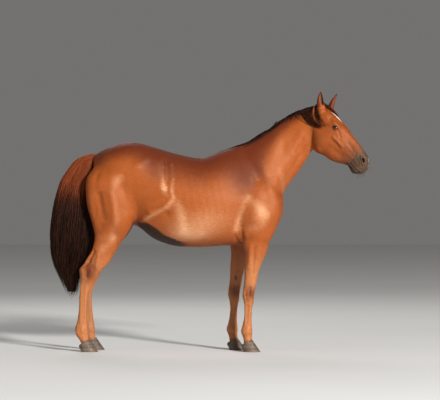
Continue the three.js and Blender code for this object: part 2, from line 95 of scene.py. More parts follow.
# The same bend undone.
def straight(p):
    full = radians(place["turn"])
    radius = place["turnOver"] / full
    dx = p[..., 0] - place["turnFrom"]
    dy = p[..., 1] + radius
    angle = np.arctan2(dx, dy)
    arcX = place["turnFrom"] + place["turnOver"] * angle / full
    arcY = np.hypot(dx, dy) - radius
    beyond = dx * cos(full) - dy * sin(full)
    farX = place["turnFrom"] + place["turnOver"] + beyond
    farY = dx * sin(full) + dy * cos(full) - radius
    far = (angle > full) & (beyond > 0)
    x = np.where(dx <= 0, p[..., 0], np.where(far, farX, arcX))
    y = np.where(dx <= 0, p[..., 1], np.where(far, farY, arcY))
    return np.stack([x, y, p[..., 2]], -1)


# A foot's step forward, fading out upwards.
def stepped(p, leg, sign=1):
    by, gone, full = legShifts[leg]
    t = ramp((gone - p[..., 2]) / (gone - full))
    return p + np.stack([sign * by * t, 0 * t, 0 * t], -1)


# From the face's own axes, along it from the poll and up from it, to the side view.
def onFace(along, y, up):
    c, s = cosSin(place["facePitch"])
    along, y, up = np.broadcast_arrays(*(np.asarray(v, float) for v in (along, y, up)))
    return np.stack([place["pollX"] + along * c + up * s, y, place["pollZ"] - along * s + up * c], -1)


# The same undone.
def toFace(p):
    c, s = cosSin(place["facePitch"])
    dx, dz = p[..., 0] - place["pollX"], p[..., 2] - place["pollZ"]
    return np.stack([dx * c - dz * s, p[..., 1], dx * s + dz * c], -1)


# From the unbent side view in millimetres to the scene in metres.
def toWorld(p):
    return turned(np.asarray(p, float)) * mm + np.array([place["shift"], 0, 0])


# The same undone.
def fromWorld(p):
    return straight((p - [place["shift"], 0, 0]) / mm)


# Each row of a table is a line across the side view, from edge A to edge B, with a superellipse
# round it: [A x, A z, B x, B z, centre y, half width, widest at, power of A's half, of B's half]

body = {
    "steps": 300, "around": 220,
    "table": [  # belly to back, from the rump to the poll
        [-880, 1150, -893, 1485, 0, 85, 0.55, 2.0, 1.9],
        [-800, 1010, -805, 1537, 0, 185, 0.62, 2.0, 2.0],
        [-690, 960, -694, 1578, 0, 236, 0.62, 2.0, 2.1],
        [-560, 945, -566, 1586, 0, 252, 0.6, 2.0, 2.1],
        [-430, 848, -432, 1551, 0, 262, 0.56, 2.1, 2.1],
        [-270, 794, -270, 1503, 0, 280, 0.5, 2.1, 2.0],
        [-85, 784, -87, 1470, 0, 292, 0.47, 2.1, 1.9],
        [80, 794, 65, 1514, 0, 278, 0.47, 2.1, 1.75],
        [224, 803, 194, 1556, 0, 245, 0.46, 2.1, 1.6],
        [384, 828, 285, 1584, 0, 225, 0.43, 2.1, 1.6],
        [483, 890, 346, 1617, 0, 205, 0.4, 2.2, 1.65],
        [543, 1040, 399, 1649, 0, 176, 0.38, 2.3, 1.7],
        [556, 1190, 456, 1680, 0, 143, 0.4, 2.1, 1.75],
        [600, 1268, 517, 1724, 0, 113, 0.42, 2.0, 1.8],
        [650, 1333, 581, 1766, 0, 95, 0.45, 2.0, 1.85],
        [699, 1404, 646, 1800, 0, 84, 0.48, 2.0, 1.9],
        [737, 1464, 718, 1826, 0, 76, 0.52, 2.0, 2.0],
        [775, 1530, 800, 1848, 0, 68, 0.55, 2.0, 2.0],
    ],
}
face = {
    "steps": 200, "around": 140,
    "table": [  # jaw to face, on the face's own axes, from the poll to the lips
        [66, -150, -8, 8, 0, 56, 0.6, 2.0, 2.0],
        [112, -195, 45, 26, 0, 72, 0.66, 2.2, 2.2],
        [172, -226, 105, 43, 0, 84, 0.72, 2.4, 2.5],
        [228, -250, 175, 54, 0, 92, 0.77, 2.5, 2.6],
        [275, -245, 240, 54, 0, 96, 0.8, 2.6, 2.6],
        [325, -220, 300, 55, 0, 80, 0.76, 2.5, 2.3],
        [383, -206, 358, 49, 0, 66, 0.7, 2.4, 2.1],
        [428, -186, 408, 47, 0, 57, 0.66, 2.3, 2.1],
        [468, -158, 455, 44, 0, 52, 0.62, 2.2, 2.1],
        [507, -137, 500, 40, 0, 51, 0.6, 2.2, 2.2],
        [547, -138, 545, 34, 0, 53, 0.56, 2.3, 2.3],
        [586, -134, 583, 23, 0, 54, 0.55, 2.4, 2.4],
        [612, -112, 611, 0, 0, 48, 0.55, 2.3, 2.3],
        [626, -94, 629, -28, 0, 34, 0.5, 2.2, 2.2],
        [634, -78, 638, -50, 0, 14, 0.5, 2.0, 2.0],
    ],
}
foreLeg = {
    "steps": 190, "around": 72,
    "table": [  # back to front, from the shoulder to the coronet
        [236, 1310, 361, 1440, 92, 52, 0.5, 2.0, 2.0],
        [224, 1150, 490, 1272, 146, 84, 0.45, 2.2, 2.1],
        [228, 995, 530, 1070, 148, 88, 0.42, 2.2, 2.1],
        [236, 885, 478, 889, 144, 76, 0.42, 2.1, 2.1],
        [243, 808, 444, 820, 137, 62, 0.44, 2.1, 2.0],
        [259, 748, 430, 755, 133, 55, 0.45, 2.1, 2.0],
        [259, 691, 405, 700, 130, 49, 0.46, 2.1, 2.0],
        [254, 625, 375, 625, 127, 44, 0.48, 2.1, 2.0],
        [253, 557, 358, 557, 124, 39, 0.5, 2.2, 2.1],
        [247, 501, 346, 490, 123, 41, 0.52, 2.2, 2.6],
        [240, 449, 336, 449, 123, 43, 0.53, 2.2, 2.8],
        [238, 414, 332, 414, 122, 42, 0.54, 2.2, 2.8],
        [246, 386, 330, 380, 121, 36, 0.55, 2.1, 2.5],
        [252, 344, 321, 344, 120, 27, 0.6, 1.9, 2.2],
        [253, 298, 316, 298, 120, 26, 0.6, 1.9, 2.2],
        [248, 250, 314, 250, 119, 27, 0.6, 1.9, 2.2],
        [240, 202, 314, 202, 118, 31, 0.55, 2.0, 2.2],
        [230, 156, 318, 158, 118, 35, 0.52, 2.1, 2.2],
        [243, 124, 315, 124, 118, 30, 0.5, 2.1, 2.2],
        [250, 90, 315, 98, 118, 32, 0.5, 2.1, 2.2],
        [254, 56, 322, 76, 118, 40, 0.5, 2.2, 2.1],
    ],
}
hindLeg = {
    "steps": 210, "around": 72,
    "table": [  # back to front, from the hip to the coronet
        [-880, 1400, -640, 1440, 70, 72, 0.5, 2.0, 2.0],
        [-938, 1310, -580, 1325, 120, 112, 0.52, 2.1, 2.1],
        [-943, 1205, -556, 1175, 137, 115, 0.52, 2.2, 2.1],
        [-932, 1100, -556, 1070, 139, 107, 0.5, 2.2, 2.1],
        [-906, 1005, -580, 980, 139, 94, 0.5, 2.1, 2.0],
        [-884, 920, -610, 914, 136, 76, 0.5, 2.1, 2.0],
        [-877, 866, -648, 858, 131, 63, 0.5, 2.1, 2.0],
        [-886, 815, -683, 818, 128, 54, 0.52, 2.0, 2.0],
        [-900, 764, -707, 772, 126, 49, 0.55, 1.9, 2.0],
        [-922, 727, -731, 735, 124, 45, 0.58, 1.8, 2.0],
        [-945, 693, -752, 694, 122, 42, 0.62, 1.7, 2.0],
        [-965, 660, -784, 650, 120, 40, 0.6, 1.8, 2.1],
        [-992, 626, -830, 606, 119, 40, 0.56, 2.0, 2.2],
        [-992, 592, -848, 572, 118, 40, 0.55, 2.1, 2.3],
        [-986, 543, -868, 532, 118, 38, 0.55, 2.1, 2.2],
        [-988, 489, -898, 480, 117, 32, 0.56, 2.0, 2.2],
        [-993, 421, -918, 434, 116, 27, 0.6, 1.9, 2.2],
        [-995, 353, -927, 353, 115, 26, 0.6, 1.9, 2.2],
        [-1002, 285, -929, 285, 115, 26, 0.6, 1.9, 2.2],
        [-1009, 231, -926, 232, 114, 29, 0.58, 1.9, 2.2],
        [-1021, 180, -924, 172, 114, 34, 0.54, 2.1, 2.2],
        [-1014, 127, -920, 127, 114, 32, 0.5, 2.1, 2.2],
        [-990, 92, -920, 98, 114, 32, 0.5, 2.1, 2.2],
        [-972, 56, -906, 76, 114, 40, 0.5, 2.2, 2.1],
    ],
}

# Swellings and hollows: [height, spread, from x, y, z, to x, y, z], alike on both sides.
relief = [
    [15, 46, -380, 232, 1500, -372, 240, 1470],  # point of the hip
    [-11, 60, -300, 250, 1405, -290, 265, 1340],  # hollow of the flank
    [9, 26, -330, 262, 1170, -540, 235, 1060],  # fold from stifle to flank
    [-8, 24, -850, 200, 1420, -872, 225, 1000],  # groove behind the thigh
    [8, 42, -740, 245, 1330, -715, 240, 985],  # front of the thigh
    [-8, 32, -830, 240, 1180, -830, 230, 960],  # hollow above the gaskin
    [9, 48, -640, 205, 1010, -655, 190, 960],  # stifle
    [-9, 36, 255, 205, 1500, 410, 215, 1250],  # groove before the shoulder blade
    [8, 40, 250, 180, 1480, 330, 215, 1330],  # spine of the shoulder blade
    [14, 75, 300, 235, 1090, 320, 230, 1010],  # triceps
    [10, 52, 480, 185, 1100, 470, 190, 1050],  # point of the shoulder
    [-9, 26, 222, 220, 1000, 232, 200, 880],  # groove behind the elbow
    [9, 26, 250, 190, 915, 262, 190, 885],  # elbow
    [8, 60, 540, 70, 1090, 545, 70, 1030],  # breast muscle
    [-9, 30, 565, 0, 1120, 520, 0, 960],  # furrow between the breast muscles
    [-7, 22, 720, 62, 1540, 570, 110, 1230],  # jugular furrow
    [5, 34, 700, 78, 1640, 520, 130, 1330],  # muscle along the neck
    [6, 30, 385, 165, 810, 365, 160, 720],  # front of the forearm
    [-7, 14, -945, 140, 745, -985, 140, 680],  # hollow before the hamstring
    [-4, 9, 276, 145, 350, 270, 145, 215],  # furrow before the fore tendons
    [-4, 9, -985, 142, 450, -990, 142, 220],  # furrow before the hind tendons
]
# The same on the face's axes: [height, spread, from along, y, up, to along, y, up]
faceRelief = [
    [9, 20, 226, 92, 32, 266, 90, 30],  # brow over the eye
    [-7, 20, 170, 76, 28, 184, 80, 20],  # hollow above the eye
    [6, 13, 300, 78, -58, 385, 62, -52],  # cheek bone
    [8, 52, 215, 80, -130, 250, 76, -160],  # jaw muscle
    [-6, 26, 330, 60, 6, 430, 50, 2],  # hollow beside the nose
    [-6, 24, 370, 60, -120, 430, 50, -110],  # hollow of the cheek
    [6, 20, 566, 46, -12, 580, 44, -22],  # nostril
    [6, 26, 585, 20, -118, 575, 16, -132],  # chin
    [-7, 16, 532, 26, -134, 512, 20, -136],  # furrow behind the chin
]


# Rows of a table at fractional row numbers: a Catmull-Rom curve through every column.
def rowsAt(table, u):
    table = np.asarray(table, float)
    last = len(table) - 1
    i = np.clip(np.floor(u).astype(int), 0, last - 1)
    t = (u - i)[:, None]
    b, c = table[i], table[i + 1]
    a = np.where((i > 0)[:, None], table[np.maximum(i - 1, 0)], 2 * b - c)
    d = np.where((i < last - 1)[:, None], table[np.minimum(i + 2, last)], 2 * c - b)
    return b + 0.5 * t * (c - a + t * (2 * a - 5 * b + 4 * c - d + t * (3 * (b - c) + d - a)))


# A tube through a table: across the line, sign(cos) |cos|^(2/power) half widths, and along it
# sign(sin) |sin|^(2/power) of its part above or below the widest place. Angles are radians.
def tube(rows, angle, swell=0.0):
    ax, az, bx, bz, y, half, widest, powerA, powerB = rows.T[..., None]
    height = np.hypot(bx - ax, bz - az)
    lx, lz = (bx - ax) / height, (bz - az) / height
    c, s = np.cos(angle), np.sin(angle)
    power = np.where(s > 0, powerB, powerA)
    across = np.sign(c) * np.abs(c) ** (2 / power) * (half + swell)
    reach = np.where(s > 0, 1 - widest, widest) * height + swell
    up = np.sign(s) * np.abs(s) ** (2 / power) * reach + widest * height
    return np.stack([ax + lx * up, y + across, az + lz * up], -1)


# A closed net of quads over a grid of rings, its ends shut by fans to their middles.
def shut(grid):
    n, m = grid.shape[:2]
    k = np.arange(n * m).reshape(n, m)
    side = np.roll(k, -1, 1)
    quads = np.stack([k[:-1], side[:-1], side[1:], k[1:]], -1).reshape(-1, 4)
    points = np.concatenate([grid.reshape(-1, 3), grid[:1].mean(1), grid[-1:].mean(1)])
    first = np.stack([side[0], k[0], np.full(m, n * m)], -1)
    last = np.stack([k[-1], side[-1], np.full(m, n * m + 1)], -1)
    return points, [quads, first, last]


# Points of a unit sphere by polar angle and turn, open just short of its poles.
def dome(rings, around):
    polar = np.linspace(0.05, pi - 0.05, rings)[:, None]
    turn = 2 * pi * np.arange(around) / around
    return np.stack([np.sin(polar) * np.cos(turn), np.sin(polar) * np.sin(turn),
                     np.cos(polar) + 0 * turn], -1)


# Several nets, each its points and its arrays of faces, as one.
def joined(nets):
    points, faces, count = [], [], 0
    for own, net in nets:
        faces += [corners + count for corners in net]
        points.append(own)
        count += len(own)
    return np.concatenate(points), faces


# A mesh object from points in metres and arrays of faces of any size.
def meshObject(name, points, faces, smooth=True):
    mesh = bpy.data.meshes.new(name)
    corners = np.concatenate([f.ravel() for f in faces]).astype(np.int32)
    sizes = np.concatenate([np.full(len(f), f.shape[1], np.int32) for f in faces])
    mesh.vertices.add(len(points))
    mesh.vertices.foreach_set("co", np.asarray(points, np.float32).ravel())
    mesh.loops.add(len(corners))
    mesh.loops.foreach_set("vertex_index", corners)
    mesh.polygons.add(len(sizes))
    starts = np.concatenate([[0], np.cumsum(sizes)[:-1]]).astype(np.int32)
    mesh.polygons.foreach_set("loop_start", starts)
    mesh.polygons.foreach_set("loop_total", sizes)
    mesh.polygons.foreach_set("use_smooth", np.full(len(sizes), smooth))
    mesh.update(calc_edges=True)
    mesh.validate()
    thing = bpy.data.objects.new(name, mesh)
    bpy.context.scene.collection.objects.link(thing)
    return thing


# The points and triangles of a mesh.
def readMesh(mesh):
    points = np.empty(len(mesh.vertices) * 3, np.float32)
    mesh.vertices.foreach_get("co", points)
    mesh.calc_loop_triangles()
    triangles = np.empty(len(mesh.loop_triangles) * 3, np.int32)
    mesh.loop_triangles.foreach_get("vertices", triangles)
    return points.reshape(-1, 3).astype(float), triangles.reshape(-1, 3)


# Distances from points to a segment.
def toSegment(p, a, b):
    a, b = np.asarray(a, float), np.asarray(b, float)
    t = np.clip((p - a) @ (b - a) / max((b - a) @ (b - a), 1e-9), 0, 1)
    return np.linalg.norm(p - a - t[:, None] * (b - a), axis=1)


# The lift of a surface: a Gaussian of the distance to each segment, times its height.
def lift(p, swellings):
    p = np.stack([p[:, 0], np.abs(p[:, 1]), p[:, 2]], -1)
    total = np.zeros(len(p))
    for height, spread, *ends in swellings:
        near = np.flatnonzero(toSegment(p, ends[:3], ends[3:]) < 3 * spread)
        total[near] += height * gauss(toSegment(p[near], ends[:3], ends[3:]), spread)
    return total


skin = {
    "depth": 1.5, "sink": 2.8, "voxel": 0.0091, "melt": 10, "junction": 40, "splits": 4, "slack": 1.4,
    "edge": 15.0, "headEdge": 6.5, "fineEdge": 3.0, "lidEdge": 1.9,
    "ribSpacing": 56, "ribLean": 0.2, "ribHeight": 0.4,
}
parts = [  # name, table, side, whether it is a leg
    ("body", body, 1, None), ("face", face, 1, None),
    ("foreRight", foreLeg, -1, ("fore", -1)), ("foreLeft", foreLeg, 1, ("fore", 1)),
    ("hindRight", hindLeg, -1, ("hind", -1)), ("hindLeft", hindLeg, 1, ("hind", 1)),
]
eye = {"along": 254.0, "y": 82.0, "up": 6.0, "radius": 21.0, "tilt": 24.0,
       "long": 20.5, "upper": 13.0, "lower": 10.5, "lid": 2.0}
nostril = {"along": 574.0, "up": -8.0, "long": 23.0, "wide": 10.0, "tilt": -24.0, "bend": 0.009}
ear = {
    "rings": 46, "arc": 34, "thick": 3.0, "dome": 31.0, "curl": 5.0,
    "right": ([866, -52, 1838], [864, -66, 1962], 12),  # base, tip and which way it opens
    "left": ([900, 50, 1812], [952, 64, 1950], -20),
    "table": [  # share of the length, half width, half depth, opening's half angle
        [-0.12, 31, 30, 3.1], [0, 30, 28, 3.1], [0.12, 30.5, 27.5, 3.0], [0.3, 33, 26, 2.55],
        [0.5, 32, 22, 2.35], [0.7, 25, 16, 2.3], [0.86, 15.5, 10, 2.4], [0.95, 8, 6, 2.6],
        [1.0, 2.0, 1.6, 2.9],
    ],
}
mouth = {"corner": 497.0, "up": -92.0, "sag": -5.0, "deep": 4.2, "wide": 1.9}

# More swellings, seen from the side: [height, spread, from x, z, to x, z], where the surface
# faces sideways.
sideRelief = [
    [-7, 34, 262, 1500, 352, 1300], [-7, 32, 352, 1300, 440, 1150],  # before the shoulder blade
    [9, 60, 378, 1050, 360, 1010],  # shoulder joint
    [-7, 24, 262, 1150, 226, 1030], [-7, 21, 226, 1030, 207, 935],  # behind the triceps
    [-5, 8, 236, 945, 246, 850], [-3.5, 6, 186, 885, 218, 822],  # folds at the elbow
    [-3, 6, 172, 905, 200, 838], [4, 9, 201, 880, 232, 830],
    [5, 11, -379, 1492, -349, 1407], [4.5, 12, -349, 1407, -357, 1290],  # rims of the flank's hollow
    [4, 11, -340, 1480, -296, 1420], [4.5, 12, -296, 1420, -281, 1310], [5, 14, -281, 1310, -302, 1215],
    [-8, 26, -336, 1440, -322, 1280], [5, 14, -302, 1215, -284, 1165],
    [8, 16, -452, 1048, -345, 1094], [6.5, 15, -345, 1094, -284, 1165],  # fold of the flank
    [8, 22, -520, 985, -452, 1048], [-9, 26, -440, 985, -330, 1040], [-6, 26, -330, 1040, -262, 1130],
    [-8, 24, -842, 1190, -800, 1010], [8, 26, -745, 1190, -700, 920],  # thigh
    [-5, 26, -655, 1230, -600, 1060], [6, 30, -560, 1400, -470, 1460],
    [-5, 28, 560, 1560, 470, 1330], [5, 30, 640, 1480, 560, 1330],  # neck
    [-5, 13, 716, 1610, 668, 1505], [-4, 9, 745, 1560, 700, 1470],  # folds at the throat
    [-5, 12, 405, 830, 388, 640], [5, 15, 300, 800, 292, 640], [-4, 9, 330, 780, 318, 600],
    [4, 9, 318, 470, 322, 410], [-3.5, 7, 296, 486, 292, 420], [5, 10, 248, 470, 244, 440],
    [-4, 7, 266, 430, 268, 390], [3, 7, 262, 365, 262, 215], [2.6, 7, 300, 360, 298, 215],
    [4, 12, 280, 172, 276, 150], [-3, 8, 300, 132, 306, 108], [3, 8, 252, 146, 246, 138],
    [-7, 13, -880, 760, -915, 690], [-6, 12, -915, 690, -940, 655], [5, 12, -846, 735, -862, 640],
    [5, 13, -900, 612, -906, 575], [-3.5, 8, -936, 618, -930, 560], [4, 9, -968, 620, -962, 560],
    [3, 7, -980, 500, -984, 225], [2.6, 7, -938, 500, -944, 225], [4, 12, -966, 178, -968, 158],
    [-3, 8, -940, 132, -936, 108], [3, 8, -1006, 150, -1008, 142],
]
# And on the face's axes: [height, spread, from along, up, to along, up]
sideFaceRelief = [
    [2, 9, 292, -50, 396, -60], [-2.5, 12, 300, -74, 380, -82],  # cheek bone's edge
    [1.2, 3.6, 296, -20, 366, -62], [1.1, 3.2, 366, -62, 452, -84], [1, 3, 366, -62, 448, -40],  # veins
    [-3.5, 9, 404, -6, 500, -18], [3, 14, 440, -62, 500, -62],
    [-4, 8, 150, -150, 190, -205], [4, 16, 268, -205, 300, -215],
    [-4, 9, 214, 42, 246, 46], [-5, 9, 286, 6, 330, -16],
    [3, 9, 530, -52, 570, -62], [-3, 6, 508, -74, 516, -98], [-2.2, 4, 520, -72, 530, -90],
]


# Triangles cut at the middles of their marked edges, into four, three or two.
def split(points, triangles, target):
    ends = triangles[:, [0, 1, 1, 2, 2, 0]].reshape(-1, 3, 2)
    key = np.sort(ends, -1)
    flat = key[..., 0].astype(np.int64) * len(points) + key[..., 1]
    edges, back = np.unique(flat, return_inverse=True)
    back = back.reshape(-1, 3)
    a, b = points[edges // len(points)], points[edges % len(points)]
    marked = np.linalg.norm(a - b, axis=1) > target((a + b) / 2)
    number = np.where(marked, len(points) + np.cumsum(marked) - 1, -1)
    points = np.concatenate([points, (a[marked] + b[marked]) / 2])
    middle = number[back]
    cut = (middle >= 0).sum(1)
    out = [triangles[cut == 0]]
    for k in range(3):
        spin = [k, (k + 1) % 3, (k + 2) % 3]
        v, m = triangles[:, spin].T, middle[:, spin].T
        one = (cut == 1) & (m[0] >= 0)
        two = (cut == 2) & (m[2] < 0)
        out += [np.stack(c, -1)[one] for c in ((v[0], m[0], v[2]), (m[0], v[1], v[2]))]
        out += [np.stack(c, -1)[two] for c in
                ((m[0], v[1], m[1]), (v[0], m[0], m[1]), (v[0], m[1], v[2]))]
    v, m = triangles[cut == 3].T, middle[cut == 3].T
    out += [np.stack(c, -1) for c in ((v[0], m[0], m[2]), (m[0], v[1], m[1]),
                                      (m[2], m[1], v[2]), (m[0], m[1], m[2]))]
    return points, np.concatenate(out)


# Averages over the neighbours of every point of a mesh.
class Neighbours:
    def __init__(self, triangles, count):
        ends = np.sort(triangles[:, [0, 1, 1, 2, 2, 0]].reshape(-1, 2), -1)
        self.edges = np.unique(ends, axis=0)
        self.count = count
        self.degree = np.maximum(np.bincount(self.edges.ravel(), minlength=count), 1)

    def mean(self, values):
        a, b = self.edges.T
        flat = values.reshape(self.count, -1)
        columns = [np.bincount(a, c[b], self.count) + np.bincount(b, c[a], self.count) for c in flat.T]
        return (np.stack(columns, -1) / self.degree[:, None]).reshape(values.shape)

    def diffuse(self, values, rounds, share=0.6):
        for _ in range(rounds):
            values = values + share * (self.mean(values) - values)
        return values

    # Taubin's smoothing, which keeps the volume.
    def melt(self, points, rounds, weight=1.0):
        for _ in range(rounds):
            points = points + weight * 0.5 * (self.mean(points) - points)
            points = points - weight * 0.53 * (self.mean(points) - points)
        return points


# Normals of the points: the sum of their triangles' normals, weighted by area.
def normalsOf(points, triangles):
    a, b, c = (points[triangles[:, i]] for i in range(3))
    area = np.cross(b - a, c - a)
    total = np.zeros_like(points)
    for i in range(3):
        for axis in range(3):
            total[:, axis] += np.bincount(triangles[:, i], area[:, axis], len(points))
    return unit(total)


# The rings of one part, where they stand on the horse.
def ringsOf(name, part, side, leg, swell, steps, around):
    u = np.linspace(0, len(part["table"]) - 1, steps)
    angle = 2 * pi * (np.arange(around) + 0.5) / around
    grid = tube(rowsAt(part["table"], u), angle, swell)
    if name == "face":
        grid = onFace(grid[..., 0], grid[..., 1], grid[..., 2])
    if leg:
        grid[..., 1] *= side
        grid = stepped(grid, leg)
    return toWorld(grid), u, angle


# The tubes and the ears' domes are joined and skinned over at one voxel size; makeSkin then
# smooths them and cuts them finer where the head needs it.
def rawSkin():
    nets = []
    for name, part, side, leg in parts:
        grid, _, _ = ringsOf(name, part, side, leg, -skin["depth"], part["steps"], part["around"])
        nets.append(shut(grid[::-1] if side < 0 else grid))
    for base in (ear["right"][0], ear["left"][0]):
        nets.append(shut(toWorld(np.array(base) + dome(24, 40) * ear["dome"])[::-1]))
    thing = meshObject("raw", *joined(nets))
    remesh = thing.modifiers.new("remesh", "REMESH")
    remesh.mode = "VOXEL"
    remesh.voxel_size = skin["voxel"] * 1
    whole = thing.evaluated_get(bpy.context.evaluated_depsgraph_get())
    result = readMesh(whole.to_mesh())
    whole.to_mesh_clear()
    bpy.data.meshes.remove(thing.data)
    return result


wayAt, partAt, rowAt, turnAt = slice(3, 6), 6, 7, 8  # columns of the tube map


# Where the tubes' points are, with the way along, the part, the row and the angle of each.
def tubeMap():
    rows = []
    for k, (name, part, side, leg) in enumerate(parts):
        steps, around = (260, 160) if name == "body" else (150, 80)
        grid, u, angle = ringsOf(name, part, side, leg, -skin["depth"], steps, around)
        along = np.gradient(grid, axis=0)
        if name == "body":
            along = -along
        along = unit(along)
        label = np.full(grid.shape[:2], k)
        row = np.broadcast_to(u[:, None], label.shape)
        turn = np.broadcast_to(angle, label.shape)
        rows.append(np.concatenate([grid, along, label[..., None], row[..., None],
                                    turn[..., None]], -1).reshape(-1, 9))
    return np.concatenate(rows)


# For each point, the row of the table whose place is nearest.
def nearestRows(points, table):
    tree = KDTree(len(table))
    for i, p in enumerate(table[:, :3].tolist()):
        tree.insert(p, i)
    tree.balance()
    return table[np.array([tree.find(p)[1] for p in points.tolist()])]


# Distance to a side-view segment.
def sideSegment(x, z, x0, z0, x1, z1):
    return toSegment(np.stack([x, z], -1), (x0, z0), (x1, z1))


# The lift of swellings given in the side view: the same bell round each segment.
def sideLift(x, z, swellings):
    total = np.zeros(len(x))
    for height, spread, *ends in swellings:
        total += height * gauss(sideSegment(x, z, *ends), spread)
    return total


# Axes of the eye on the face's own: along its slit, across it and out from its centre.
def eyeAxes(f):
    c, s = cosSin(eye["tilt"])
    da, du = f[:, 0] - eye["along"], f[:, 2] - eye["up"]
    return da * c + du * s, du * c - da * s, np.abs(f[:, 1]) - eye["y"]


# How far out of the almond between the lids a place is: 1 on the lids' edges.
def almond(a, b):
    reach = np.maximum(1 - (a / eye["long"]) ** 2, 0) ** 0.75
    lid = np.where(b > 0, eye["upper"], eye["lower"]) * reach
    beyond = np.hypot(a / eye["long"], b / np.where(b > 0, eye["upper"], eye["lower"])) + 0.03
    inside = np.maximum(np.abs(b) / np.maximum(lid, 0.6), np.abs(a / eye["long"]) ** 3)
    return np.where(np.abs(a) < eye["long"] * 0.985, inside, beyond)


# The higher of two surfaces, rounded where they cross.
def smoothMax(a, b, soft):
    return 0.5 * (a + b + np.sqrt((a - b) ** 2 + soft ** 2))


# Face points with lids over the ball of the eye: outside the almond the surface is the higher
# of the face and a sphere a little larger than the ball, and inside it drops behind the ball.
def liddedFace(f):
    a, b, out = eyeAxes(f)
    far = np.hypot(a, b)
    near = far < 34
    r = almond(a, b)
    # points close to the lids' edges are drawn onto them
    snap = np.where(np.abs(r - 1) < 0.13, 1 / np.maximum(r, 0.5), 1)
    b2 = b * np.where(np.abs(a) < eye["long"] * 0.9, snap, 1)
    ball = eye["radius"] + eye["lid"]
    over = np.sqrt(np.maximum(ball ** 2 - a ** 2 - b2 ** 2, 0)) - 4 * np.maximum(far / ball - 0.86, 0)
    lidded = smoothMax(out, np.where(far < ball, over, -40), 2.5)
    crease = -2.2 * gauss(r - 1.5, 0.13) * ramp(b / 8) - 1.4 * gauss(r - 2.0, 0.16) * ramp(b / 8)
    crease += -1.6 * gauss(r - 1.55, 0.16) * ramp(-b / 8) + 1.2 * gauss(r - 1.12, 0.1)
    tear = -2.5 * gauss(np.hypot((a - 27) / 2.0, b + 3), 4)
    deep = np.sqrt(np.maximum((eye["radius"] - 4) ** 2 - a ** 2 - b ** 2, 0)) - 3
    folds = (crease + tear) * ramp((36 - far) / 10)
    shape = np.where(r < 0.94, np.minimum(deep, lidded - 3), lidded + folds)
    result = f.copy()
    c, s = cosSin(eye["tilt"])
    db = b2 - b
    result[:, 0] += np.where(near, -s * db, 0)
    result[:, 2] += np.where(near, c * db, 0)
    result[:, 1] = np.where(near, np.sign(f[:, 1]) * (eye["y"] + shape), f[:, 1])
    return result


# How far a place on the face is from the nostril's rim, 1 on it, on a bent oval.
def nostrilOval(f):
    c, s = cosSin(nostril["tilt"])
    da, du = f[:, 0] - nostril["along"], f[:, 2] - nostril["up"]
    a, b = da * c + du * s, du * c - da * s
    b = b + nostril["bend"] * a ** 2 - 1.5
    return np.hypot(a / nostril["long"], b / nostril["wide"]), np.hypot(a, b)


# The pit and rolled rim of the nostrils, and the slit and lips of the mouth, as lift.
def muzzleLift(f, sideways):
    r, _ = nostrilOval(f)
    sidewards = ramp((np.abs(f[:, 1]) - 12) / 14)
    pit = -24 * (1 - ramp((r - 0.35) / 0.62)) + 4.5 * gauss(r - 1.22, 0.3) - 2.5 * gauss(r - 1.9, 0.3)
    line = mouth["up"] + mouth["sag"] * np.sin(pi * np.clip((f[:, 0] - mouth["corner"]) / 115, 0, 1))
    below = f[:, 2] - line
    there = ramp((f[:, 0] - mouth["corner"] + 4) / 12)
    lips = -mouth["deep"] * gauss(below, mouth["wide"])
    lips = lips + 2.6 * gauss(below - 9, 6) + 2.2 * gauss(below + 9, 6)
    wrinkles = 0.5 * np.sin((f[:, 0] + 0.3 * f[:, 2]) * 1.1) * gauss(below, 22) * sideways
    return pit * sidewards * ramp((3 - r) / 0.6) + (lips + wrinkles) * there


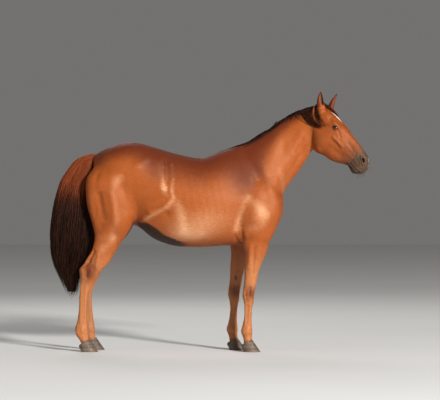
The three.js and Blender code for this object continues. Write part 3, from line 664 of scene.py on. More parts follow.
# The joined tubes, softened where legs meet the body and cut finer on the head, then lifted
# along their normals by every swelling, the ribs, the lips and the lids.
def makeSkin():
    points, triangles = rawSkin()
    net = Neighbours(triangles, len(points))
    points = net.melt(points, skin["melt"])
    found = nearestRows(points, tubeMap())
    isLeg = net.diffuse((found[:, partAt] > 1.5).astype(float), 12)
    seam = ramp(4 * isLeg * (1 - isLeg) * 1.2)
    for _ in range(skin["junction"]):
        points = points + (0.45 * seam)[:, None] * (net.mean(points) - points)
    print("skin over the tubes:", len(triangles), "triangles")

    def target(p):
        q = fromWorld(p)
        f = toFace(q)
        a, b, _ = eyeAxes(f)
        _, toNostril = nostrilOval(f)
        onHead = (f[:, 0] > 60) & (q[:, 0] > 780)
        lips = (f[:, 0] > mouth["corner"] - 12) & (np.abs(f[:, 2] - mouth["up"]) < 16)
        stripe = (np.abs(q[:, 1]) < 26) & (f[:, 2] > 25) & (f[:, 0] > 90) & (f[:, 0] < 330)
        size = np.where(onHead, skin["headEdge"], skin["edge"])
        fineHere = lips | (toNostril < 34) | (np.hypot(a, b) < 44) | stripe
        size = np.where(onHead & fineHere, skin["fineEdge"], size)
        size = np.where(onHead & (np.hypot(a, b) < 30), skin["lidEdge"], size)
        return size * mm * skin["slack"]

    for _ in range(skin["splits"]):
        points, triangles = split(points, triangles, target)
        net = Neighbours(triangles, len(points))
        points = net.melt(points, 2)
    net = Neighbours(triangles, len(points))
    found = nearestRows(points, tubeMap())
    legs = np.zeros((len(points), 4))
    for k in range(4):
        legs[:, k] = net.diffuse((found[:, partAt] == k + 2).astype(float), 12)
    normals = normalsOf(points, triangles)

    flat = fromWorld(points)
    still = flat.copy()
    for k, (_, _, _, leg) in enumerate(parts[2:]):
        still[:, 0] += legs[:, k] * (stepped(flat, leg, -1)[:, 0] - flat[:, 0])
    sideways = ramp((np.abs(normals[:, 1]) - 0.25) / 0.5)
    f = toFace(still)
    behind = ramp((still[:, 0] - 0.2 * (place["pollZ"] - still[:, 2]) - 700) / 60)
    head = ramp((f[:, 0] - 60) / 60) * (still[:, 0] > 700) * behind
    lifted = lift(still, relief) + lift(f, faceRelief) * head
    bony = 0.9 + 0.7 * ramp((820 - still[:, 2]) / 80)
    lifted += bony * sideLift(still[:, 0], still[:, 2], sideRelief) * sideways * (1 - head)
    lifted += sideLift(f[:, 0], f[:, 2], sideFaceRelief) * sideways * head
    ribs = np.cos(2 * pi * (still[:, 0] + skin["ribLean"] * (still[:, 2] - 1100)) / skin["ribSpacing"])
    ribs *= ramp((still[:, 0] + 260) / 90) * ramp((190 - still[:, 0]) / 90) * ramp((still[:, 2] - 900) / 120)
    lifted += skin["ribHeight"] * ribs * ramp((1400 - still[:, 2]) / 150) * sideways
    lifted += muzzleLift(f, sideways) * ramp((f[:, 0] - 480) / 20) * head
    # the trunk's hair is deepest, and its skin lies that much further in
    lifted -= skin["sink"] * ramp((620 - still[:, 0]) / 200) * ramp((still[:, 2] - 150) / 100) * (1 - head)
    placed = points + normals * lifted[:, None] * mm

    onHead = (f[:, 0] > 190) & (f[:, 0] < 330) & (head > 0.9)
    inner = toFace(fromWorld(placed[onHead]))
    lidded = liddedFace(inner)
    placed[onHead] = toWorld(onFace(lidded[:, 0], lidded[:, 1], lidded[:, 2]))
    return {"points": placed, "triangles": triangles, "net": net, "found": found,
            "still": still, "face": f, "head": head, "legs": legs.sum(1)}


coat = makeSkin()
coat["normals"] = normalsOf(coat["points"], coat["triangles"])
print("skin:", len(coat["points"]), "points,", len(coat["triangles"]), "triangles")


# A socket that takes part in sums: numbers by Math nodes, vectors by Vector Math.
class Sum:
    def __init__(self, tree, socket):
        self.tree = tree
        self.socket = socket

    # Any other node: its type, its settings, and its inputs by name or number.
    def node(self, kind, settings=(), out=0, **inputs):
        made = self.tree.nodes.new(kind)
        for key, value in dict(settings).items():
            setattr(made, key, value)
        for key, value in inputs.items():
            slot = made.inputs[int(key[1:]) if key[1:].isdigit() else key.replace("_", " ")]
            if isinstance(value, Sum):
                self.tree.links.new(value.socket, slot)
            else:
                slot.default_value = value
        return Sum(self.tree, made.outputs[out])

    def maths(self, operation, first, second):
        vector = any(isinstance(v, Sum) and v.socket.type == "VECTOR" for v in (first, second))
        if vector:
            first, second = (v if isinstance(v, (Sum, tuple)) else (v, v, v) for v in (first, second))
            return self.node("ShaderNodeVectorMath", {"operation": operation}, i0=first, i1=second)
        return self.node("ShaderNodeMath", {"operation": operation}, i0=first, i1=second)

    def __add__(self, other):
        return self.maths("ADD", self, other)

    def __radd__(self, other):
        return self.maths("ADD", other, self)

    def __sub__(self, other):
        return self.maths("SUBTRACT", self, other)

    def __rsub__(self, other):
        return self.maths("SUBTRACT", other, self)

    def __mul__(self, other):
        return self.maths("MULTIPLY", self, other)

    def __rmul__(self, other):
        return self.maths("MULTIPLY", other, self)

    # A value that the piece carries on its points.
    def mark(self, name):
        return self.node("ShaderNodeAttribute", {"attribute_name": name}, out="Fac")

    # From 0 at the first value to 1 at the second, smoothly, or back again.
    def step(self, first, second):
        return self.node("ShaderNodeMapRange", {"interpolation_type": "SMOOTHSTEP"},
                         Value=self, From_Min=first, From_Max=second)

    def noise(self, scale, detail=2.0, rough=0.5):
        return self.node("ShaderNodeTexNoise", out="Fac", Vector=self, Scale=scale, Detail=detail,
                         Roughness=rough)

    def mix(self, first, second):
        return self.node("ShaderNodeMix", {"data_type": "RGBA"}, out=2, i0=self,
                         i6=first, i7=second)


# A colour of 0 to 255 as a linear one.
def linear(red, green, blue):
    one = [v / 255 / 12.92 if v < 10.3 else ((v / 255 + 0.055) / 1.055) ** 2.4 for v in (red, green, blue)]
    return (*one, 1)


# A Principled material; paint gets a Sum to start from and gives what feeds the shader.
def material(name, constants, paint):
    made = bpy.data.materials.new(name)
    made.use_nodes = True
    tree = made.node_tree
    shader = tree.nodes["Principled BSDF"]
    for key, value in constants.items():
        shader.inputs[key].default_value = value
    start = Sum(tree, tree.nodes.new("ShaderNodeTexCoord").outputs["Object"])
    fed = paint(start)
    bump = fed.pop("Bump", None)
    if bump:
        height, distance = bump
        fed["Normal"] = start.node("ShaderNodeBump", Height=height, Distance=distance, Strength=1.0)
    for key, value in fed.items():
        tree.links.new(value.socket, shader.inputs[key])
    return made


# The pale colour is painted sheen; the dark one serves darker hair and painted shade; the near-black one
# serves dark bare skin and painted shade under the belly.
coatColours = {
    "mid": linear(152, 74, 27), "dark": linear(98, 38, 15), "light": linear(214, 156, 114),
    "leg": linear(176, 108, 64), "muzzle": linear(80, 60, 47), "soot": linear(44, 26, 20),
    "inside": linear(120, 84, 66), "white": linear(226, 208, 190),
}


# Chestnut coat: markings, painted sheen and painted shade come from the piece's own attributes,
# shifted a little by noise so that their edges fray; hair streaks run along the body and down the legs.
def paintCoat(start):
    own = {name: start.mark(name) for name in
           ("dark", "light", "legs", "muzzle", "soot", "star", "inside", "tint")}
    patches = start.noise(3.2, 3.0)
    mottle = start.noise(17.0, 2.0)
    onBody = (start * (28.0, 210.0, 210.0)).noise(1.0, 3.0, 0.6)
    onLeg = (start * (260.0, 260.0, 34.0)).noise(1.0, 3.0, 0.6)
    streak = onBody + (onLeg - onBody) * own["legs"]
    wobble = (patches - 0.5) * 0.35 + (streak - 0.5) * 0.25
    c = coatColours
    # painted sheen: the pale colour where the coat's highlights fall
    colour = (own["light"] + wobble).step(0.1, 0.95).mix(c["mid"], c["light"])
    colour = (own["legs"] + wobble * 0.6).step(0.1, 1.0).mix(colour, c["leg"])
    # darker over the back, crest and head, and painted shade
    colour = (own["dark"] + wobble + (mottle - 0.5) * 0.2).step(0.05, 0.95).mix(colour, c["dark"])
    colour = (own["inside"] + wobble).step(0.1, 1.0).mix(colour, c["inside"])
    colour = (own["muzzle"] + wobble * 0.6).step(0.1, 0.95).mix(colour, c["muzzle"])
    # near-black bare skin, and painted shade under the belly
    colour = (own["soot"] + wobble * 0.7).step(0.2, 0.9).mix(colour, c["soot"])
    colour = (own["star"] + (streak - 0.5) * 0.5).step(0.42, 0.6).mix(colour, c["white"])
    shade = (streak + (own["tint"] - 0.5) * 0.7).step(0.1, 0.9).mix(
        (0.87, 0.86, 0.84, 1), (1.10, 1.11, 1.12, 1))
    colour = start.node("ShaderNodeMix", {"data_type": "RGBA", "blend_type": "MULTIPLY"}, out=2,
                        i0=1.0, i6=colour, i7=shade)
    rough = 0.40 + 0.14 * streak + 0.1 * mottle
    return {"Base Color": colour, "Roughness": rough, "Bump": (streak, 0.0016)}


coatGloss = {"Specular IOR Level": 0.42, "Specular Tint": (1.0, 0.74, 0.52, 1), "Sheen Weight": 0.02,
             "Sheen Roughness": 0.4}
coatMaterial = material("chestnut coat", coatGloss, paintCoat)


# Painted sheen and painted shade in lines over the muscles, where highlights and shadow fall on
# the glossy coat: how strong, how wide, and the line's points as x and height on the unbent horse.
# Painted shade on the belly's underside by the groin lies below one edge, given as its x values and their
# heights.
lines = {
    "light": [
        [0.42, 17, (-352, 1486), (-364, 1383), (-352, 1299), (-335, 1221)],
        [0.36, 19, (-344, 1486), (-296, 1418), (-284, 1281), (-272, 1162), (-306, 1097), (-369, 1063),
         (-479, 1000)],
        [0.36, 32, (-336, 1240), (-330, 1205)],
        [0.30, 36, (-241, 1128), (-210, 1043), (-190, 924)],
        [0.27, 38, (-669, 1320), (-745, 1227), (-711, 1125), (-703, 1022), (-729, 920), (-729, 860)],
        [0.16, 50, (-805, 1312), (-669, 1312)],
        [0.22, 40, (-839, 878), (-729, 860), (-805, 784)],
        [0.22, 38, (-907, 1212), (-900, 1150)],
        [0.32, 24, (293, 1176), (250, 1090), (225, 1006), (199, 920)],
        [0.26, 42, (293, 1167), (353, 1125), (420, 1040)],
        [0.20, 36, (301, 938), (361, 938), (395, 963)],
        [0.28, 36, (523, 1380), (557, 1227)],
    ],
    "dark": [
        [0.34, 36, (-831, 1193), (-797, 1090), (-762, 1006), (-831, 903)],
        [0.34, 30, (336, 1448), (420, 1328), (523, 1193)],
        [0.35, 28, (305, 875), (350, 870)],
    ],
    "groinShadeEdge": ((-540, -470, -400, -330, -230, -80), (984, 976, 940, 884, 846, 812)),
}

# The same painted sheen and painted shade in wider patches: [how strong, x, height, stretch along, stretch
# up, spread]
patches = {
    "light": [
        [0.45, -60, 965, 2.1, 1, 140], [0.4, -150, 880, 2.5, 1, 60],  # ribs and belly
        [0.36, 385, 1050, 1, 1.3, 75], [0.2, 610, 1370, 1, 2.2, 60],  # shoulder and neck
        [0.2, -820, 770, 0.9, 1.5, 60],  # gaskin
    ],
    "dark": [
        [0.5, 280, 1290, 1, 1.6, 120], [0.3, -430, 1370, 1, 1.1, 120],  # shoulder blade and hip
        [0.8, 300, 455, 1, 1.3, 55], [0.85, -905, 610, 1, 1.4, 66],  # knee and hock
    ],
}


# The sum of the patches: a bell of the stretched distance from each middle.
def inPatches(name, x, z):
    total = np.zeros(len(x))
    for strong, middleX, middleZ, along, up, spread in patches[name]:
        total += strong * gauss(np.hypot((x - middleX) / along, (z - middleZ) / up), spread)
    return total


# Nearness to each line in the side view: a bell of the distance to its closest stretch.
def alongLines(name, x, z):
    total = np.zeros(len(x))
    for strong, spread, *places in lines[name]:
        far = np.full(len(x), np.inf)
        for (x0, z0), (x1, z1) in zip(places, places[1:]):
            dx, dz = x1 - x0, z1 - z0
            t = np.clip(((x - x0) * dx + (z - z0) * dz) / (dx * dx + dz * dz), 0, 1)
            far = np.minimum(far, np.hypot(x - x0 - t * dx, z - z0 - t * dz))
        total += strong * gauss(far, spread)
    return total


# How strongly each marking shows at points of the coat, by place on the unbent horse: the back
# and crest darken with height above the body's middle, the legs are lighter, painted sheen
# lightens the flank, shoulder and thigh, and painted shade darkens the shoulder blade, hip,
# knees, hocks and the belly's underside.
def markings(still, f, head, legs, found, normals):
    x, z = still[:, 0], still[:, 2]
    top = np.where(found[:, partAt] == 0, np.sin(found[:, turnAt]), 0)
    onNeck = ramp((x - 250) / 330)
    dark = 0.92 * ramp((top + 0.03 - 0.43 * onNeck) / (1.05 - 0.4 * onNeck)) * (1 - head) + 0.3 * head
    # painted shade in patches over the shoulder blade, hip, knees and hocks, and along lines on the thigh,
    # before the shoulder blade and above the forearms
    dark += (inPatches("dark", x, z) + alongLines("dark", x, z)) * (1 - head)
    dark += 0.35 * ramp((x - 450) / 140) * ramp((1300 - z) / 260) * (1 - legs)
    # painted sheen in patches and along lines over the flank, belly, shoulder, thigh, gaskin and neck; the
    # lines are fainter on the far side
    nearSide = 0.3 + 0.7 * ramp((60 - still[:, 1]) / 120)
    light = (inPatches("light", x, z) + alongLines("light", x, z) * nearSide) * (1 - head)
    # painted shade on the belly's underside by the groin, below the edge line; it darkens both the dark and
    # the near-black marks
    under = ramp((np.interp(x, *lines["groinShadeEdge"]) - z) / 22) * ramp((-90 - x) / 170) * ramp((x + 552) / 12)
    dark += 0.9 * under
    # a faint painted sheen over the round of the jaw
    light += 0.1 * head * gauss(np.hypot(f[:, 0] - 300, f[:, 2] + 120), 90)
    for base in (ear["right"][0], ear["left"][0]):
        dark += 0.3 * gauss(np.linalg.norm(still - np.array(base), axis=1), 42)
    foot = ramp((960 - z) / 480)
    inner = ramp((np.abs(normals[:, 1]) - 0.2) / 0.4) * (np.sign(normals[:, 1]) != np.sign(still[:, 1]))
    nearMuzzle = (0.55 * ramp((f[:, 0] - 290) / 220) + 0.45 * ramp((f[:, 0] - 480) / 75)) * head
    a, b, _ = eyeAxes(f)
    rim = 0.8 * gauss(np.maximum(almond(a, b) - 1.05, 0), 0.22) * (np.hypot(a, b) < 40) * head
    rim = rim * ramp((np.abs(f[:, 1]) - 40) / 20)
    oval, _ = nostrilOval(f)
    hole = ramp((1.25 - oval) / 0.6) * ramp((np.abs(f[:, 1]) - 12) / 14) * head
    lip = gauss(f[:, 2] - mouth["up"] + 3, 5) * ramp((f[:, 0] - mouth["corner"]) / 20) * head
    band = 13 + 7 * np.sin(f[:, 0] / 23.0) * gauss(f[:, 0] - 170, 60)
    length = ramp((f[:, 0] - 118) / 22) * ramp((252 - f[:, 0]) / 60)
    star = ramp((band * length - np.abs(f[:, 1] + 2)) / 5 + 0.5) * (f[:, 2] > 20) * head * (length > 0.02)
    snip = ramp((9 - np.abs(f[:, 1] + 3)) / 6 + 0.5) * ramp((f[:, 0] - 560) / 14) * ramp((f[:, 2] + 40) / 20)
    star = np.maximum(star, 0.47 * snip * head)
    crest = 0.9 * ramp((top - 0.93) / 0.06) * ramp((x - 230) / 120) * (1 - head)
    # near-black: bare skin round the eyes, in the nostrils and at the lips, the crest under the mane and the
    # coronets, and the painted shade under the belly
    soot = rim + hole + 0.8 * lip + crest + 0.55 * ramp((112 - z) / 30) + 0.85 * under
    return {
        "dark": np.clip(dark, 0, 1), "light": np.clip(light, 0, 1), "legs": foot * (1 - head),
        "muzzle": nearMuzzle, "soot": np.clip(soot, 0, 1),
        "star": star, "inside": 0.4 * inner * (1 - head), "tint": np.full(len(x), 0.5),
    }


# Numbers that a piece carries on its points, by name.
def addValues(thing, values):
    for name, numbers in values.items():
        layer = thing.data.attributes.new(name, "FLOAT", "POINT")
        layer.data.foreach_set("value", np.asarray(numbers, np.float32))


coat["marks"] = markings(*(coat[key] for key in ("still", "face", "head", "legs", "found", "normals")))
skinObject = meshObject("skin", coat["points"], [coat["triangles"]])
addValues(skinObject, coat["marks"])
skinObject.data.materials.append(coatMaterial)
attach(skinObject, "root")
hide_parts("head", "neck", "shoulders", "barrel", "quarters",
            "forearm_right", "forearm_left", "gaskin_right", "gaskin_left",
            "fore_cannon_right", "fore_cannon_left", "hind_cannon_right", "hind_cannon_left")
print("skin placed")


ball = {"rings": 72, "around": 96, "bulge": 1.5, "bulgeSpread": 0.62, "pupil": (8.6, 4.6)}


# A place on the horse from the eye's axes: along its slit, across it and out from its centre.
def eyeSpot(a, b, out, side):
    c, s = cosSin(eye["tilt"])
    return toWorld(onFace(eye["along"] + a * c - b * s, side * (eye["y"] + out), eye["up"] + a * s + b * c))


# The ball is a sphere round its outward axis, with a clear bulge before the iris; the pupil is
# a level oval. Rings crowd towards the outward pole.
def makeEye(name, side):
    polar = pi * np.linspace(0.0, 1.0, ball["rings"] + 1)[1:-1] ** 1.3
    turn = 2 * pi * np.arange(ball["around"]) / ball["around"]
    reach = eye["radius"] + ball["bulge"] * gauss(polar, ball["bulgeSpread"])
    a = (reach * np.sin(polar))[:, None] * np.cos(turn)
    b = (reach * np.sin(polar))[:, None] * np.sin(turn)
    out = np.broadcast_to((reach * np.cos(polar))[:, None], a.shape)
    points, faces = shut(eyeSpot(a, b, out, side)[:, ::side])
    pupil = np.hypot(a / ball["pupil"][0], b / ball["pupil"][1])
    away = np.broadcast_to(polar[:, None], a.shape)
    thing = meshObject(name, points, faces)
    addValues(thing, {"away": np.concatenate([away[:, ::side].ravel(), [0, pi]]),
                      "pupil": np.concatenate([pupil[:, ::side].ravel(), [0, 9]])})
    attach(thing, "root")
    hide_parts(name.replace("ball", "eye"))
    return thing


# Dark brown iris round a darker pupil, both crossed by fine fibres.
def paintEye(start):
    away, pupil = start.mark("away"), start.mark("pupil")
    fibres = (start * (520.0, 520.0, 520.0)).noise(1.0, 3.0)
    colour = (away + 0.05 * fibres).step(0.62, 0.74).mix(linear(46, 24, 12), linear(30, 20, 17))
    colour = (away + 0.06 * fibres).step(0.86, 1.1).mix(colour, linear(96, 78, 68))
    colour = (pupil + 0.2 * fibres).step(1.0, 1.25).mix(linear(5, 5, 8), colour)
    return {"Base Color": colour, "Roughness": 0.04 + 0.06 * fibres}


eyeMaterial = material("wet eye", {"Coat Weight": 1.0, "Coat Roughness": 0.03, "IOR": 1.4}, paintEye)
for name, side in (("ball_right", -1), ("ball_left", 1)):
    makeEye(name, side).data.materials.append(eyeMaterial)
print("eyes")


hoof = {
    "rings": 44, "around": 72, "fore": 378.0, "hind": -848.0, "ridge": 0.35, "cleft": 7.0,
    "table": [  # back x and z, front x and z from the toe, half width, power
        [-127, 0, 0, 0, 60, 2.4], [-133, 14, -20, 29, 57, 2.4], [-140, 28, -40, 58, 54, 2.3],
        [-146, 40, -58, 84, 50, 2.2], [-142, 52, -64, 96, 44, 2.1],
    ],
}


# Rings of a superellipse from the flat sole up and back to the coronet, each with faint
# growth ridges, and a cleft between the bulbs of the heel that fades to the sole.
def makeHoof(name, end, side):
    table = np.array(hoof["table"])
    level = np.concatenate([[0, 0, 0], np.linspace(0, len(table) - 1, hoof["rings"])])
    bx, bz, fx, fz, half, power = rowsAt(table, level).T[..., None]
    turn = 2 * pi * (np.arange(hoof["around"]) + 0.5) / hoof["around"]
    c, s = np.cos(turn), np.sin(turn)
    scale = np.ones(len(level))
    scale[:3] = [0.3, 0.7, 0.985]
    ridge = hoof["ridge"] * np.sin(level * 17) * ramp(level * 4)
    notch = hoof["cleft"] * gauss(turn - pi, 0.16) * ramp(level[:, None] / 0.8)
    u = (np.sign(c) * np.abs(c) ** (2 / power) * scale[:, None] + 1) / 2
    across = np.sign(s) * np.abs(s) ** (2 / power) * (half + ridge[:, None]) * scale[:, None]
    x = bx + (fx - bx) * u + ridge[:, None] * c + notch
    grid = np.stack([hoof[end] + x, across, bz + (fz - bz) * u], -1)
    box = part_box(name.replace("_horn", ""))
    grid = stepped(grid * [1, side, 1], (end, side)) * mm
    grid[..., 0] += place["shift"]
    grid[..., 1] += (box[0][1] + box[1][1]) / 2
    grid[:3, :, 2] = 0
    points, faces = shut(grid[:, ::side])
    thing = meshObject(name, points, faces)
    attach(thing, "root")
    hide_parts(name.replace("_horn", ""))
    return thing


# Growth rings and upright fibres in grey-brown, with dust in patches.
def paintHorn(start):
    rings = (start * (5.0, 5.0, 150.0)).noise(1.0, 2.0)
    runs = (start * (110.0, 110.0, 8.0)).noise(1.0, 2.0)
    dirt = start.noise(26.0, 4.0, 0.6)
    colour = (rings * 0.7 + runs * 0.35).step(0.3, 0.8).mix(linear(58, 46, 38), linear(118, 98, 80))
    colour = dirt.step(0.55, 0.8).mix(colour, linear(140, 122, 100))
    height = rings + 0.25 * runs + 0.4 * dirt
    return {"Base Color": colour, "Roughness": 0.45 + 0.35 * dirt, "Bump": (height, 0.001)}


hornMaterial = material("horn", {"Specular IOR Level": 0.5}, paintHorn)
for end in ("fore", "hind"):
    for name, side in (("right", -1), ("left", 1)):
        makeHoof(f"{end}_hoof_{name}_horn", end, side).data.materials.append(hornMaterial)
print("hooves")


# A scoop: at each height an arc round the back, (half width sin, half depth cos) of the angle,
# thinner at its rims, which roll inwards, and the same arc inside on the way back.
def makeEar(name):
    base, tip, opening = ear[name]
    base, tip = np.array(base, float), np.array(tip, float)
    axis = tip - base
    forward = np.array([*cosSin(-opening), 0])
    forward -= axis * (forward @ axis) / (axis @ axis)
    forward = unit(forward)
    across = np.cross(unit(axis), forward)
    level = np.linspace(0, len(ear["table"]) - 1, ear["rings"])
    share, half, deep, wide = rowsAt(np.array(ear["table"]), level).T[..., None]
    tuck = 0.5 + 0.5 * ramp(share / 0.17)  # draws the lower rim in under the skin
    half, deep = half * tuck, deep * tuck
    s = np.linspace(-1, 1, ear["arc"])
    roll = 1 - 0.14 * np.abs(s) ** 6 * ramp(share * 4)
    wall = ear["thick"] * (1 - 0.6 * np.abs(s) ** 3) * np.minimum(half / 12, 1)
    curl = ear["curl"] * np.sin(pi * np.clip(share, 0, 1))
    ripple = 0.8 * np.sin(9 * s + 2 * share) * np.sin(pi * np.clip(share, 0, 1))

    def arc(inward):
        a = np.sin(s * wide) * (half - inward) * roll
        b = -np.cos(s * wide) * (deep - inward) * roll - curl
        return base + share[..., None] * axis + a[..., None] * across + b[..., None] * forward

    grid = np.concatenate([arc(0 * s), arc(wall + ripple + 0.6)[:, ::-1]], 1)
    points, faces = shut(toWorld(grid)[::-1])
    thing = meshObject(f"{name}_ear", points, faces)
    edge = np.abs(np.concatenate([s, s[::-1]]))
    inside = np.concatenate([0 * s, 0 * s + 1]) * np.clip(share * 3, 0, 1)
    marks = {key: np.zeros(len(points)) for key in coat["marks"]}
    rims = (gauss(1 - edge, 0.05) * ramp(share * 3) * 0.8 + 0.75 * ramp((share - 0.84) / 0.14))[::-1]
    marks["soot"][:-2] = np.clip(rims, 0, 1).ravel()
    marks["inside"][:-2] = (inside[::-1] * 0.9).ravel()
    marks["dark"][:-2] = np.broadcast_to(0.3 + 0.5 * ramp(share / 0.3), grid.shape[:2])[::-1].ravel()
    marks["tint"][:] = 0.5
    addValues(thing, marks)
    thing.data.materials.append(coatMaterial)
    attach(thing, "root")
    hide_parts(f"ear_{name}")
    own, triangles = readMesh(thing.data)
    places = np.stack([0.1 + 0.8 * share + 0 * s, 0.5 + 0.4 * s + 0 * share], -1)
    places = np.concatenate([places, places[:, ::-1]], 1)[::-1].reshape(-1, 2)
    return {"base": base, "axis": axis, "forward": forward, "across": across, "points": own,
            "triangles": triangles, "normals": normalsOf(own, triangles), "marks": marks,
            "unwrap": np.concatenate([places, [[0.5, 0.5]] * 2])}


scoops = {name: makeEar(name) for name in ("right", "left")}
print("ears")


# Each part's tile on an unwrap of the skin: x, y, width and height.
tiles = [(0.01, 0.01, 0.58, 0.98), (0.61, 0.52, 0.38, 0.46)] + [
    (0.61 + 0.097 * k, 0.01, 0.085, 0.48) for k in range(4)]
rowCounts = [len(part["table"]) - 1 for _, part, _, _ in parts]


# Where a row and angle of a part lies on the unwrap; the rows of body and face run across
# their tiles, and those of the legs up theirs.
def onUnwrap(part, row, turn):
    part = np.asarray(part).astype(int)
    tile = np.array(tiles)[part]
    along = row / np.array(rowCounts)[part]
    around = np.mod(turn / (2 * pi), 1)
    first = np.where(part < 2, along, around)
    second = np.where(part < 2, around, along)
    return np.stack([tile[..., 0] + tile[..., 2] * first, tile[..., 1] + tile[..., 3] * second], -1)


coat["unwrap"] = onUnwrap(*coat["found"][:, [partAt, rowAt, turnAt]].T)


patchSize = 0.0015


# Each shape's faces are one small patch round its root's place.
def addPatches(thing, count, roots, spots):
    mesh = thing.data
    layer = mesh.uv_layers.new(name="OFBake")
    corners = np.empty(len(mesh.loops), np.int32)
    mesh.loops.foreach_get("vertex_index", corners)
    places = roots[:, None] + patchSize * spots[None]
    layer.data.foreach_set("uv", places.reshape(-1, 2)[corners].astype(np.float32).ravel())
    assert len(mesh.vertices) == count


for surface in (coat, *scoops.values()):
    surface["tree"] = BVHTree.FromPolygons(surface["points"].tolist(), surface["triangles"].tolist())


# The nearest places of the skin, with its normals there.
def onSkin(spots, surface=coat):
    hits = [surface["tree"].find_nearest(p) for p in spots.tolist()]
    corner = surface["triangles"][np.array([hit[2] for hit in hits])]
    n = surface["normals"][corner].sum(1)
    return np.array([hit[0] for hit in hits]), unit(n)


# Locks: a flat diamond section carried along each path, narrowing to both ends.
def makeLocks(name, paths, out, width, thick, roots, marks, finish):
    n, k = paths.shape[:2]
    along = unit(np.gradient(paths, axis=1))
    across = unit(np.cross(along, out))
    up = np.cross(across, along)
    w, t = width[..., None] * mm, thick[..., None] * mm
    rings = np.stack([paths + across * w, paths + up * t, paths - across * w, paths - up * t], 2)
    points = rings.reshape(-1, 3)
    index = np.arange(n * k * 4).reshape(n, k, 4)
    side = np.roll(index, -1, 2)
    net = np.stack([index[:, :-1], side[:, :-1], side[:, 1:], index[:, 1:]], -1).reshape(-1, 4)
    caps = np.concatenate([index[:, 0, ::-1], index[:, -1]])
    thing = meshObject(name, points, [net[:, ::-1], caps[:, ::-1]])
    spots = np.stack(np.meshgrid(np.linspace(-1, 1, k), [-1, -0.33, 0.33, 1], indexing="ij"), -1)
    addPatches(thing, n * k * 4, roots, spots.reshape(-1, 2))
    addValues(thing, {key: np.repeat(v, k * 4) for key, v in marks.items()})
    share = np.tile(np.repeat(np.linspace(0, 1, k), 4), n)
    addValues(thing, {"share": share})
    thing.data.materials.append(finish)
    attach(thing, "root")
    return thing


# Near black to dark brown by lock, redder high up where the lock asks for it, paler at the ends.
def paintHair(start):
    tone, red, share = (start.mark(name) for name in ("tone", "red", "share"))
    strands = (start * (330.0, 330.0, 26.0)).noise(1.0, 3.0)
    height = start.node("ShaderNodeSeparateXYZ", Vector=start, out=2)
    colour = (tone + (strands - 0.5) * 0.5).step(0.1, 0.95).mix(linear(9, 4, 3), linear(48, 20, 14))
    colour = (red * height.step(0.9, 1.5) * 1.6 + (strands - 0.5) * 0.3).step(0.25, 0.95).mix(
        colour, linear(118, 54, 27))
    colour = (share + 0.3 * tone).step(0.9, 1.3).mix(colour, linear(58, 32, 22))
    return {"Base Color": colour, "Roughness": 0.42 + 0.2 * strands, "Bump": (strands, 0.0012)}


hairGloss = {"Specular IOR Level": 0.2, "Specular Tint": (1.0, 0.6, 0.42, 1)}
hairMaterial = material("long hair", hairGloss, paintHair)
rootDepth = 4  # how far under the skin a lock starts
mane = {
    "seed": 5, "count": 1500, "steps": 11, "width": 2.4, "thick": 1.2,
    "near": 420, "tuft": 46, "cheek": 150,
}


# A lock over the neck: it leaves the crest, rises by the hair's depth and lies down the side;
# row drifts, angle falls from root to end, and the swell lifts it off the skin.
def crestPaths(part, row, turn, drift, fall, swell, steps):
    s = np.linspace(0, 1, steps)
    r = np.clip(row[:, None] + drift[:, None] * s ** 1.3, 0, len(part["table"]) - 1)
    a = radians(1) * (turn[:, None] + fall[:, None] * s)
    rise = np.sin(0.5 * pi * np.clip(s * 3.2, 0, 1))
    high = -rootDepth + (swell[:, None] + rootDepth) * rise - 0.55 * swell[:, None] * s ** 3
    spot = tube(rowsAt(part["table"], r.ravel()), a.reshape(-1, 1), 0.0)[:, 0]
    if part is face:
        spot = onFace(spot[:, 0], spot[:, 1], spot[:, 2])
    spot, out = onSkin(toWorld(spot))
    spot = spot + out * high.reshape(-1, 1) * mm
    return spot.reshape(len(row), steps, 3), out.reshape(len(row), steps, 3)


# Waves that grow towards the ends, sideways and along.
def sway(paths, rng, size, waves=1.3):
    n, k = paths.shape[:2]
    s = np.linspace(0, 1, k)[None, :, None]
    phase = rng.uniform(0, 2 * pi, (n, 1, 3))
    rate = waves * rng.uniform(0.6, 1.4, (n, 1, 3))
    size = size * rng.uniform(0.3, 1.3, (n, 1, 3))
    return paths + size * mm * s ** 1.2 * np.sin(phase + 2 * pi * rate * s)


# A lock's width along it: from 0.35 at the root in a straight line to 1, times what is left of
# its length to the power 0.65, with 0.03 left at the tip.
def taper(steps, full=0.25):
    s = np.linspace(0, 1, steps)
    return np.minimum(1, 0.35 + s / full) * np.clip(1 - s, 0, 1) ** 0.65 * 0.97 + 0.03


